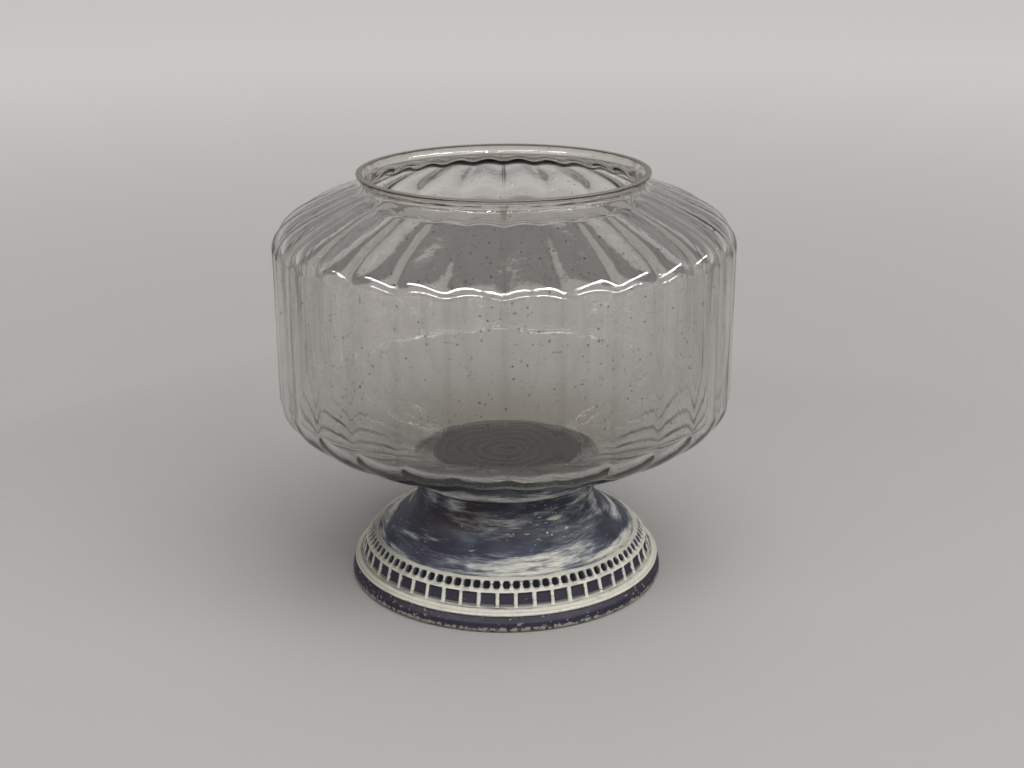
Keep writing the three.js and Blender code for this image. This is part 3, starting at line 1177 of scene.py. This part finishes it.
PAINT_MARKS = ("cover", "worn", "shade", "dust_and_shade")
FRONT_PATCHES = (
    WashPatch(8, 0.0190, 0.028, 0.0042, 0.60),
    WashPatch(30, 0.0205, 0.012, 0.0040, 0.40),
    WashPatch(64, 0.0172, 0.018, 0.0018, 0.80),
    WashPatch(73, 0.0300, 0.0040, 0.0060, 0.55),
    WashPatch(86, 0.0225, 0.0050, 0.0050, 0.45),
    WashPatch(31, 0.0307, 0.0030, 0.0007, 0.90),
    WashPatch(-58, 0.0214, 0.016, 0.0011, 0.38, 0.006),
    WashPatch(-10, 0.0290, 0.014, 0.0050, 0.30),
    WashPatch(45, 0.0260, 0.016, 0.0060, 0.22),
    WashPatch(54, 0.0345, 0.007, 0.0045, 0.34),
    WashPatch(-56, 0.0345, 0.005, 0.0045, 0.34),
    WashPatch(-34, 0.0350, 0.006, 0.0026, 0.48),
    WashPatch(18, 0.0310, 0.016, 0.0030, 0.18),
)
DABBED = (
    WashPatch(14, 0.0295, 0.014, 0.0050, 0.95),
    WashPatch(34, 0.0285, 0.010, 0.0060, 0.80),
    WashPatch(170, 0.0300, 0.012, 0.0040, 0.80),
    WashPatch(245, 0.0260, 0.010, 0.0050, 0.80),
)
# Painted shade: darker patches where the foot faces away from the light, on the left and round the back.
SIDE_SHADE_PATCHES = (
    WashPatch(-76, 0.0105, 0.032, 0.0110, 0.62),
    WashPatch(-82, 0.0175, 0.026, 0.0060, 0.62),
    WashPatch(200, 0.0105, 0.024, 0.0080, 0.35),
)
STAINS = (
    WashPatch(-24, 0.0330, 0.010, 0.0060, 0.85),
    WashPatch(-48, 0.0280, 0.010, 0.0060, 0.45),
    WashPatch(150, 0.0310, 0.012, 0.0060, 0.55),
    WashPatch(228, 0.0260, 0.012, 0.0050, 0.45),
)
BACK_AZIMUTHS = (105, 265)
BACK_LOW = ((0.0172, 0.0215), (0.010, 0.026), (0.0015, 0.0042))
BACK_HIGH = ((0.022, 0.035), (0.003, 0.010), (0.0008, 0.0045))
BACK_STRENGTHS = (0.3, 0.8)
BACK_LEANS = (-0.003, 0.003)


@dataclass
class Pedestal:
    """Turned and painted foot, with its dentil ring and its bead ring.

    The pulls say where a curve's two middle control points lie, as shares of its own width and height. The
    bare, dark, side shade and dusty pairs say at which depth of a cut, or cover, such a mark starts and is
    full; the dark and side shade pairs give painted shade.
    """

    finish: PaintFinish
    columns: int = 1092
    felt_margin: float = 0.0082
    felt_thickness: float = 0.0012
    corner_round: float = 0.0002
    recess_bevel: float = 0.0003
    edge_bevel: float = 0.0009
    edge_lean: float = 0.0001
    base_height: float = 0.0056
    base_step: float = 0.0014
    base_curve: tuple[Pair, Pair] = ((0.15, 0.34), (0.4, 0.66))
    torus_height: float = 0.0021
    torus_bulge: float = 0.0007
    torus_step: float = 0.0016
    torus_pulls: Pair = (0.1, 0.75)
    quirk_depth: float = 0.0011
    quirk_rise: float = 0.2
    dentil_height: float = 0.0053
    dentil_step: float = 0.0015
    fillet_height: float = 0.0009
    fillet_step: float = 0.0011
    bead_height: float = 0.0025
    bead_step: float = 0.0018
    ledge_width: float = 0.0033
    ledge_rise: float = 0.0006
    ledge_front: float = 0.45
    neck_radius: float = 0.033
    flare_height: float = 0.016
    flare_pulls: tuple[Pair, Pair] = ((0.38, 0.29), (0.03, 0.47))
    neck_height: float = 0.0038
    cove_height: float = 0.0028
    cove_pulls: Pair = (0.7, 0.3)
    lip_overhang: float = 0.0034
    lip_round: float = 0.0012
    lip_bulge: float = 0.3
    top_flat: float = 0.001
    top_middle: float = 0.004
    dentil_count: int = 51
    dentil_bar: float = 0.0012
    dentil_depth: float = 0.0009
    dentil_sill: float = 0.00055
    dentil_crown: float = 0.0004
    dentil_flank: Pair = (0.0001, 0.00035)
    dentil_end: Pair = (0.0003, 0.0001)
    bead_count: int = 91
    bead_width: float = 0.0011
    bead_depth: float = 0.0014
    bead_sill: float = 0.0001
    notch_squareness: int = 3
    notch_edge: Pair = (1.12, 0.72)
    incised_line: float = 0.00012
    hand_waver: float = 0.00006
    hand_waver_size: float = 0.006
    hand_waver_seed: int = 9
    flat_margins: Pair = (0.0002, 0.0001)
    wear_size: float = 0.024
    wear_uneven: float = 0.22
    wear_seed: int = 21
    patch_fade: Pair = (1.5, 0.35)
    back_patches: int = 16
    back_seed: int = 5
    rising_rows: tuple[int, int] = (5, -8)
    sill_dust: float = 0.8
    line_dust: float = 0.75
    fillet_dust: tuple[float, ...] = (0.15, 0.45, 0.7, 0.75)
    torus_bare: Triple = (0.75, 0.45, 0.2)
    notch_gloom: float = 0.97
    lip_gloom: float = 0.75
    dentil_shade: float = 0.9
    most_cover: float = 1.4
    bare_dentil: Pair = (0.05, 0.5)
    bare_notch: Pair = (0.02, 0.3)
    dark_notch: Pair = (0.25, 0.8)
    dark_lip: Pair = (0.35, 0.9)
    soiled_cover: Pair = (0.4, 0.8)
    dusty_sill: Pair = (0.2, 0.8)
    dusty_fillet: Pair = (0.2, 0.9)
    foot_radius: float = field(init=False)
    foot_top: float = field(init=False)

    def __post_init__(self) -> None:
        """Takes the overall sizes from the frame."""
        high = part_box("pedestal")[1]
        self.foot_radius = high.y
        self.foot_top = high.z

    def outline(self) -> tuple[Array, list[Band]]:
        """The turned outline from the felt's recess up and over the lip.

        Returns:
            Points as radius and height, and the band that each belongs to.
        """
        rows: list[Pair] = []
        bands: list[Band] = []

        def go(points: Array | Sequence[Pair], band: Band) -> None:
            """Adds points that belong to one band."""
            rows.extend((float(radius), float(height)) for radius, height in points)
            bands.extend([band] * len(points))

        def line(end: Pair, steps: int, band: Band) -> None:
            """Adds a straight run from the last point."""
            go(np.linspace(rows[-1], end, steps + 1)[1:], band)

        def curve(corners: Sequence[Pair], steps: int, band: Band) -> None:
            """Adds a cubic curve from the last point."""
            go(bezier((rows[-1], *corners), np.linspace(0, 1, steps + 1)[1:])[0], band)

        foot, top, recess = self.foot_radius, self.foot_top, self.foot_radius - self.felt_margin
        insets = (
            foot, self.base_step, self.torus_step, self.quirk_depth, self.dentil_step, self.fillet_step,
            self.bead_step, self.ledge_width,
        )
        _, torus, torus_top, dentil, fillet, bead, ledge, flare = accumulate(insets, sub)
        rises = (
            self.base_height, self.torus_height, self.dentil_height, self.fillet_height, self.bead_height,
            self.ledge_rise, self.flare_height, self.neck_height, self.cove_height,
        )
        heights = tuple(accumulate(rises))
        base_top, dentil_bottom, fillet_bottom, bead_bottom, ledge_bottom = heights[:5]
        flare_bottom, flare_top, cove_bottom, lip_bottom = heights[5:]
        neck = self.neck_radius
        lip = neck + self.lip_overhang
        lip_edge = lip - self.lip_round
        lip_side = lip + self.lip_round * self.lip_bulge
        swell = torus + self.torus_bulge
        span = flare - neck
        front = self.ledge_front
        (flare_in, flare_up), (neck_out, neck_up) = self.flare_pulls
        cove_up, cove_out = self.cove_pulls

        go([(recess / 2, self.felt_thickness)], Band.RECESS)
        line((recess - self.corner_round, self.felt_thickness), 2, Band.RECESS)
        go([(recess, self.felt_thickness - self.corner_round)], Band.RECESS)
        go([(recess, self.recess_bevel), (recess + self.recess_bevel, 0)], Band.RECESS)
        line((foot - self.edge_bevel - self.corner_round, 0), 4, Band.EDGE)
        line((foot - self.edge_lean, self.edge_bevel), 4, Band.EDGE)
        for (step, share), steps, band in zip(self.base_curve, (3, 5), (Band.EDGE, Band.BASE)):
            line((foot - self.base_step * step, self.base_height * share), steps, band)
        line((torus - self.torus_bulge, base_top), 5, Band.BASE)
        bulge = [(swell, base_top + self.torus_height * pull) for pull in self.torus_pulls]
        curve((*bulge, (torus_top, dentil_bottom)), 12, Band.TORUS)
        line((dentil, dentil_bottom + self.torus_bulge * self.quirk_rise), 3, Band.QUIRK)
        line((fillet, fillet_bottom), 18, Band.DENTIL)
        line((bead, bead_bottom), 5, Band.FILLET)
        line((ledge, ledge_bottom), 11, Band.BEAD)
        line((ledge + (flare - ledge) * front, ledge_bottom + self.ledge_rise * front), 5, Band.LEDGE)
        line((flare, flare_bottom), 5, Band.HOLLOW)
        sweep = (
            (flare - span * flare_in, flare_bottom + self.flare_height * flare_up),
            (neck + span * neck_out, flare_bottom + self.flare_height * neck_up),
            (neck, flare_top),
        )
        curve(sweep, 32, Band.FLARE)
        line((neck, cove_bottom), 5, Band.NECK)
        cove = (
            (neck, cove_bottom + self.cove_height * cove_up),
            (neck + self.lip_overhang * cove_out, lip_bottom),
            (lip_edge, lip_bottom),
        )
        curve(cove, 7, Band.NECK)
        curve(((lip_side, lip_bottom), (lip_side, top), (lip_edge, top)), 11, Band.LIP)
        line((lip_edge - self.top_flat, top), 1, Band.LIP)
        line((self.top_middle, top), 6, Band.LIP)
        return np.array(rows), bands

    def carving(self, turning: Turning) -> tuple[Array, Array]:
        """How deep the dentils and the notches between the beads are cut.

        Args:
            turning: The turned foot.

        Returns:
            Shares of the full dentil cut, and of the full notch, as rings by columns.
        """
        dentils = np.zeros((len(turning.points), len(turning.angles)))
        notches = np.zeros_like(dentils)
        turn = (turning.angles - FRONT) / TAU
        rings = ((Band.DENTIL, self.dentil_count, dentils), (Band.BEAD, self.bead_count, notches))
        for band, count, cuts in rings:
            rows = turning.rows(band)
            low, high = turning.points[rows[0] - 1], turning.points[rows[-1]]
            length = float(np.linalg.norm(high - low))
            along = np.linalg.norm(turning.points[rows] - low, axis=1)[:, None]
            pitch = TAU * turning.points[rows, 0][:, None] / count
            from_centre = np.abs((turn * count + 0.5) % 1 - 0.5)[None, :] * pitch
            if band is Band.DENTIL:
                bar = self.dentil_bar / 2
                start, end = self.dentil_flank
                below, above = self.dentil_end
                sill = smooth(self.dentil_sill - below, self.dentil_sill + above, along)
                crown = smooth(self.dentil_crown - below, self.dentil_crown + above, length - along)
                cuts[rows] = smooth(bar - start, bar + end, pitch / 2 - from_centre) * (sill * crown)
            else:
                wide = (pitch - self.bead_width) / 2
                tall = length / 2 - self.bead_sill
                power = self.notch_squareness
                reach = (from_centre / wide) ** power + (np.abs(along - length / 2) / tall) ** power
                cuts[rows] = smooth(*self.notch_edge, reach ** (1 / power))
        return dentils, notches

    def patches(self) -> list[WashPatch]:
        """Where the wash was left on: the marks of the front, and like ones round the back.

        Returns:
            All the patches.
        """
        chance = np.random.default_rng(self.back_seed)
        made = list(FRONT_PATCHES)
        for _ in range(self.back_patches):
            sizes = BACK_LOW if chance.random() < 0.5 else BACK_HIGH
            ranges = (BACK_AZIMUTHS, *sizes, BACK_STRENGTHS, BACK_LEANS)
            made.append(WashPatch(*(chance.uniform(*limits) for limits in ranges)))
        return made

    def spread(self, patches: Sequence[WashPatch], turning: Turning) -> Array:
        """Lays patches over the outline.

        Args:
            patches: What is laid.
            turning: The turned foot.

        Returns:
            Their strength, as rings by columns.
        """
        total = np.zeros((len(turning.points), len(turning.angles)))
        meridian = turning.meridian
        rising = slice(*self.rising_rows)
        for patch in patches:
            centre = np.interp(patch.height, turning.points[rising, 1], meridian[rising])
            turn = (turning.angles - FRONT - math.radians(patch.azimuth) + TAU / 2) % TAU - TAU / 2
            across = turn[None, :] * turning.points[:, :1] / patch.half_width
            up = (meridian[:, None] - centre - across * patch.lean / 2) / patch.half_height
            total += patch.strength * smooth(*self.patch_fade, np.sqrt(across**2 + up**2))
        return total

    def lay_dust(self, dust_and_shade: Array, turning: Turning, dentils: Array, notches: Array) -> None:
        """Puts dust on the sills of the dentils, under the notches and in the torus's incised line.

        Args:
            dust_and_shade: Dust and painted shade as rings by columns, to which this adds dust.
            turning: The turned foot.
            dentils: Shares of the dentil cut.
            notches: Shares of the notches' cut.
        """
        rows = turning.rows(Band.DENTIL)
        between = smooth(*self.dusty_sill, dentils[rows[len(rows) // 2]])
        dust_and_shade[rows[: len(rows) // 6]] = between * self.sill_dust
        under_notch = smooth(*self.dusty_fillet, notches[turning.rows(Band.BEAD)].max(axis=0))
        dust_and_shade[turning.rows(Band.FILLET)[-4:]] = under_notch * np.array(self.fillet_dust)[:, None]
        dust_and_shade[turning.incised()] = self.line_dust

    def marks(self, turning: Turning) -> dict[str, Array]:
        """The values that the paint reads.

        Args:
            turning: The turned foot.

        Returns:
            Values as rings by columns, by name.
        """
        dentils, notches = self.carving(turning)
        plain = np.zeros_like(dentils)
        rows = {name: plain + turning.shares(name) for name in PAINT_MARKS}
        cut = np.maximum(smooth(*self.bare_dentil, dentils), smooth(*self.bare_notch, notches))
        cover = (rows["cover"] + self.spread(self.patches(), turning)) * (1 - cut)
        self.lay_dust(rows["dust_and_shade"], turning, dentils, notches)
        # Painted shade: the side patches darken the cream through the dust mark.
        side_shade = self.spread(SIDE_SHADE_PATCHES, turning) * smooth(*self.soiled_cover, cover)
        cover[turning.rows(Band.TORUS)[:3]] -= np.array(self.torus_bare)[:, None]
        # Painted shade in the deep notches and on the neck under the lip.
        painted_shade = smooth(*self.dark_notch, notches) * self.notch_gloom
        under_lip = turning.rows(Band.NECK)
        darker = smooth(*self.dark_lip, np.linspace(0, 1, len(under_lip)))
        painted_shade[under_lip] = darker[:, None] * self.lip_gloom
        circle = around(np.array([self.foot_radius]), turning.points[-1:, 1], turning.angles)[0]
        handled = waver(circle, self.wear_size, self.wear_seed) * self.wear_uneven
        open_paint = [band in (Band.FLARE, Band.NECK, Band.BASE) for band in turning.bands]
        return {
            "cover": np.clip(cover, 0, self.most_cover),
            "worn": rows["worn"] + handled * (rows["worn"] > 0),
            "shade": np.maximum(rows["shade"], dentils * self.dentil_shade),
            "dust_and_shade": np.clip(rows["dust_and_shade"] + side_shade, 0, 1),
            "stain": np.clip(self.spread(STAINS, turning), 0, 1),
            "dabs": np.clip(self.spread(DABBED, turning), 0, 1),
            "open": plain + np.array(open_paint)[:, None],
            "painted_shade": painted_shade,
            "meridian": plain + turning.meridian[:, None],
        }

    def build(self) -> Object:
        """Makes the foot with the marks that its paint reads, dresses it and puts it in the frame.

        Returns:
            The piece.
        """
        points, bands = self.outline()
        turning = Turning(points, bands, even_turns(self.columns))
        along = np.gradient(points, axis=0)
        along /= np.linalg.norm(along, axis=1, keepdims=True)
        dentils, notches = self.carving(turning)
        depth = dentils * self.dentil_depth + notches * self.bead_depth
        depth[turning.incised()] += self.incised_line
        plain = around(points[:, 0], points[:, 1], turning.angles)
        swell = waver(plain.reshape(-1, 3), self.hand_waver_size, self.hand_waver_seed).reshape(depth.shape)
        above, below = self.flat_margins
        worked = (points[:, 1] > above)[:, None] * (points[:, 1] < self.foot_top - below)[:, None]
        depth = depth + swell * self.hand_waver * worked
        radius = points[:, :1] - along[:, 1:] * depth
        height = points[:, 1:] + along[:, :1] * depth
        piece = skin("painted_foot", around(radius, height, turning.angles), self.marks(turning))
        piece.data.materials.append(self.finish.coat())
        return seat(piece, "pedestal")


@dataclass
class FeltPad:
    """Felt disc let in flush under the foot."""

    finish: FeltFinish
    columns: int = 240
    nap_rings: int = 30
    middle: float = 0.002
    edge_round: float = 0.0003
    top_round: float = 0.0002
    nap: float = 0.00003
    nap_size: float = 0.0015
    nap_seed: int = 13

    def build(self) -> Object:
        """Makes the pad, dresses it and puts it in the frame.

        Returns:
            The piece.
        """
        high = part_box("felt_pad")[1]
        edge, top = high.y, high.z
        turns = np.linspace(0, TAU / 4, 5)[1:]
        under = np.linspace(self.middle, edge - self.edge_round, self.nap_rings)
        corner = edge - self.edge_round * (1 - np.sin(turns))
        radius = np.concatenate([under, corner, [edge, edge - self.edge_round, self.middle]])
        rise = self.edge_round * (1 - np.cos(turns))
        height = np.concatenate([np.zeros(self.nap_rings), rise, [top - self.top_round, top, top]])
        angles = even_turns(self.columns)
        rings = around(radius, height, angles)
        flat = rings[: self.nap_rings]
        nap = waver(flat.reshape(-1, 3), self.nap_size, self.nap_seed).reshape(self.nap_rings, -1)
        flat[:, :, 2] += np.abs(nap) * self.nap
        piece = skin("felt_disc", rings)
        piece.data.materials.append(self.finish.cloth())
        return seat(piece, "felt_pad")


@dataclass(frozen=True)
class Softbox:
    """A soft lamp: where it hangs, how large it is and how bright.

    Shows says whether gloss and glass mirror it, and lights whether it lights matt surfaces.
    """

    name: str
    place: Triple
    size: Pair
    power: float
    colour: Colour = (1.0, 1.0, 1.0)
    shows: bool = True
    lights: bool = True

    def hang(self, target: Vector) -> None:
        """Adds the lamp.

        Args:
            target: The point that it faces.
        """
        lamp = bpy.data.lights.new(self.name, "AREA")
        lamp.shape = "RECTANGLE"
        lamp.size, lamp.size_y = self.size
        lamp.energy = self.power
        lamp.color = self.colour
        holder = bpy.data.objects.new(self.name, lamp)
        holder.location = self.place
        holder.rotation_euler = (target - Vector(self.place)).to_track_quat("-Z", "Y").to_euler()
        holder.visible_camera = False
        holder.visible_diffuse = self.lights
        holder.visible_glossy = self.shows
        holder.visible_transmission = self.shows
        bpy.context.scene.collection.objects.link(holder)


@dataclass
class Studio:
    """Pale sweep of paper on a darker table, soft lamps, pale wall, dim room and the camera's place.

    Glass and gloss see a darker strip far behind the bowl, and the table beside the sweep.
    """

    floor_radius: float = 9.0
    floor_thickness: float = 0.02
    floor_columns: int = 96
    floor_near: Pair = (0.05, 0.6)
    floor_far: Pair = (0.8, 0.03)
    floor_rings: int = 12
    floor_colour: Colour = (0.405, 0.39, 0.377)
    floor_far_colour: Colour = (0.80, 0.785, 0.765)
    floor_ramp: Pair = (0.10, 1.7)
    floor_cloud: Cloud = Cloud(0.25, 0.2, 0.8)
    floor_cloud_shade: float = 0.985
    floor_grain: Cloud = Cloud(0.0012, 0.2, 0.8)
    floor_roughness: Pair = (0.75, 0.1)
    floor_gloss: float = 0.1
    table_colour: Colour = (0.06, 0.059, 0.057)
    far_strip: Pair = (0.46, 0.68)
    far_strip_edges: Pair = (0.015, 0.04)
    far_strip_depth: float = 0.62
    sweep_half_width: float = 0.28
    sweep_edge: float = 0.07
    sweep_front: Pair = (-0.15, 0.0)
    sweep_spread: float = 0.42
    sweep_depth: float = 0.6
    surround: Colour = (0.62, 0.605, 0.59)
    room: Colour = (0.40, 0.395, 0.39)
    ceiling: Colour = (0.27, 0.27, 0.275)
    behind_fall: Pair = (0.0, 0.40)
    before_fall: Pair = (0.15, 0.75)
    room_edge: Pair = (-0.25, 0.25)
    lamp_target: Triple = (0.0, 0.0, 0.08)
    daylight_strength: float = 1.42
    daylight_spread: float = 60.0
    daylight_turn: Triple = (22.0, 14.0, 0.0)
    camera_distance: float = 0.545
    camera_height: float = 0.2577
    camera_pitch: float = 18.81
    camera_pan: float = 0.265
    camera_roll: float = -0.3
    camera_reach: Pair = (0.01, 50.0)
    sensor_width: float = 36.0
    lens: float = 54.84
    clear_bounces: int = 24
    gloss_bounces: int = 8
    lamps: tuple[Softbox, ...] = (
        Softbox("key_strip", (-0.50, -0.88, 0.85), (1.20, 0.035), 4.2),
        Softbox("key_glint", (-0.64, -0.77, 0.87), (1.70, 0.030), 15.0, lights=False),
        Softbox("low_key_glint", (-0.50, -1.00, 0.42), (1.20, 0.016), 4.5, lights=False),
        Softbox("fill_strip", (0.66, -0.70, 0.80), (1.25, 0.045), 5.0),
        Softbox("fill_glint", (0.85, -0.52, 0.83), (1.90, 0.030), 18.0, (0.92, 0.97, 1.0), lights=False),
        Softbox("low_fill_glint", (0.75, -0.80, 0.40), (1.20, 0.018), 4.5, (0.90, 0.96, 1.0), lights=False),
        Softbox("top_softbox", (0.0, 0.25, 1.10), (0.45, 0.8), 1.2, shows=False),
    )

    def darkening(self, graph: Graph, place: NodeSocket) -> NodeSocket:
        """How far the floor darkens beside the sweep and in the far strip, for glass and gloss alone.

        Args:
            graph: Graph of the floor's material.
            place: The place on the floor.

        Returns:
            Shares from 0 to 1.
        """
        across, ahead, _ = graph.parts(place)
        spread = graph.times(graph.larger(ahead, 0.0), self.sweep_spread)
        aside = graph.minus(graph.math("ABSOLUTE", across), spread)
        beside = graph.times(
            graph.rise(aside, self.sweep_half_width, self.sweep_half_width + self.sweep_edge),
            graph.rise(ahead, *self.sweep_front),
        )
        (near, far), (near_soft, far_soft) = self.far_strip, self.far_strip_edges
        strip = graph.times(
            graph.rise(ahead, near - near_soft, near + near_soft),
            graph.rise(ahead, far + far_soft, far - far_soft),
        )
        darker = graph.larger(graph.times(beside, self.sweep_depth), graph.times(strip, self.far_strip_depth))
        path = graph.add("ShaderNodeLightPath").outputs
        return graph.times(darker, graph.larger(path["Is Glossy Ray"], path["Is Transmission Ray"]))

    def lay_floor(self) -> None:
        """Lays the pale floor, which grows paler with distance."""
        edge = self.floor_radius
        near = np.linspace(*self.floor_near, self.floor_rings)
        far = np.geomspace(self.floor_far[0], edge - self.floor_far[1], self.floor_rings)
        radii = np.concatenate([near, far, [edge]])
        angles = even_turns(self.floor_columns)
        top = around(radii, np.zeros(len(radii)), angles)[::-1]
        under = around(radii, np.full(len(radii), -self.floor_thickness), angles)
        floor = skin("studio_floor", np.concatenate([under, top]))
        material, graph, place = new_finish("pale_sweep")
        shaded = tuple(value * self.floor_cloud_shade for value in self.floor_colour)
        near = graph.mix(graph.cloud(place, self.floor_cloud), self.floor_colour, shaded)
        distance = graph.add("ShaderNodeVectorMath", {0: place}, operation="LENGTH").outputs["Value"]
        paper = graph.mix(graph.rise(distance, *self.floor_ramp), near, self.floor_far_colour)
        smoothest, uneven = self.floor_roughness
        graph.surface(
            Base_Color=graph.mix(self.darkening(graph, place), paper, self.table_colour),
            Roughness=graph.plus(graph.times(graph.cloud(place, self.floor_grain), uneven), smoothest),
            Specular_IOR_Level=self.floor_gloss,
        )
        floor.data.materials.append(material)

    def hang_lamps(self) -> None:
        """Hangs the soft lamps and the daylight, which gloss and glass don't mirror."""
        for lamp in self.lamps:
            lamp.hang(Vector(self.lamp_target))
        daylight = bpy.data.lights.new("daylight", "SUN")
        daylight.energy = self.daylight_strength
        daylight.angle = math.radians(self.daylight_spread)
        holder = bpy.data.objects.new("daylight", daylight)
        holder.rotation_euler = [math.radians(turn) for turn in self.daylight_turn]
        holder.visible_glossy = False
        holder.visible_transmission = False
        bpy.context.scene.collection.objects.link(holder)

    def set_surround(self) -> None:
        """Sets the surround: a pale wall behind, a dimmer room in front and a dark ceiling."""
        world = bpy.data.worlds.new("pale_surround")
        bpy.context.scene.world = world
        world.use_nodes = True
        world.node_tree.nodes.clear()
        graph = Graph(world.node_tree)
        _, ahead, up = graph.parts(graph.add("ShaderNodeTexCoord").outputs["Generated"])
        behind = graph.mix(graph.rise(up, *self.behind_fall), self.surround, self.ceiling)
        before = graph.mix(graph.rise(up, *self.before_fall), self.room, self.ceiling)
        sky = graph.mix(graph.rise(ahead, *self.room_edge), before, behind)
        camera = graph.add("ShaderNodeLightPath").outputs["Is Camera Ray"]
        colour = graph.mix(camera, sky, self.surround)
        backdrop = graph.add("ShaderNodeBackground", {"Color": colour, "Strength": 1.0})
        graph.add("ShaderNodeOutputWorld", {"Surface": backdrop.outputs[0]})

    def place_camera(self) -> None:
        """Sets the camera up where the photograph was taken from."""
        turns = (self.camera_pan, self.camera_pitch, self.camera_roll)
        pan, pitch, roll = (math.radians(turn) for turn in turns)
        ahead = Vector((math.sin(pan) * math.cos(pitch), math.cos(pan) * math.cos(pitch), -math.sin(pitch)))
        right = ahead.cross(Vector((0, 0, 1))).normalized()
        above = right.cross(ahead)
        right, above = (
            right * math.cos(roll) + above * math.sin(roll),
            above * math.cos(roll) - right * math.sin(roll),
        )
        lens = bpy.data.cameras.new("camera")
        lens.sensor_width = self.sensor_width
        lens.lens = self.lens
        lens.clip_start, lens.clip_end = self.camera_reach
        camera = bpy.data.objects.new("camera", lens)
        turn = Matrix((right, above, -ahead)).transposed().to_4x4()
        camera.matrix_world = Matrix.Translation((0, -self.camera_distance, self.camera_height)) @ turn
        bpy.context.scene.collection.objects.link(camera)
        bpy.context.scene.camera = camera

    def build(self) -> None:
        """Sets the whole stage up."""
        self.place_camera()
        self.lay_floor()
        self.hang_lamps()
        self.set_surround()
        scene = bpy.context.scene
        scene.view_settings.view_transform = "Standard"
        scene.cycles.max_bounces = self.clear_bounces
        scene.cycles.transmission_bounces = self.clear_bounces
        scene.cycles.glossy_bounces = self.gloss_bounces


def main() -> None:
    """Builds the stage and the four pieces, and logs how many points each has."""
    logging.basicConfig(level=logging.INFO, format="%(name)s: %(message)s")
    Studio().build()
    parts = (
        FeltPad(FeltFinish()),
        Pedestal(PaintFinish()),
        AdhesiveBond(AdhesiveFinish()),
        GlassBowl(GlassFinish()),
    )
    for part in parts:
        piece = part.build()
        log.info("%s made with %d points", piece.name, len(piece.data.vertices))


if __name__ == "__main__":
    main()
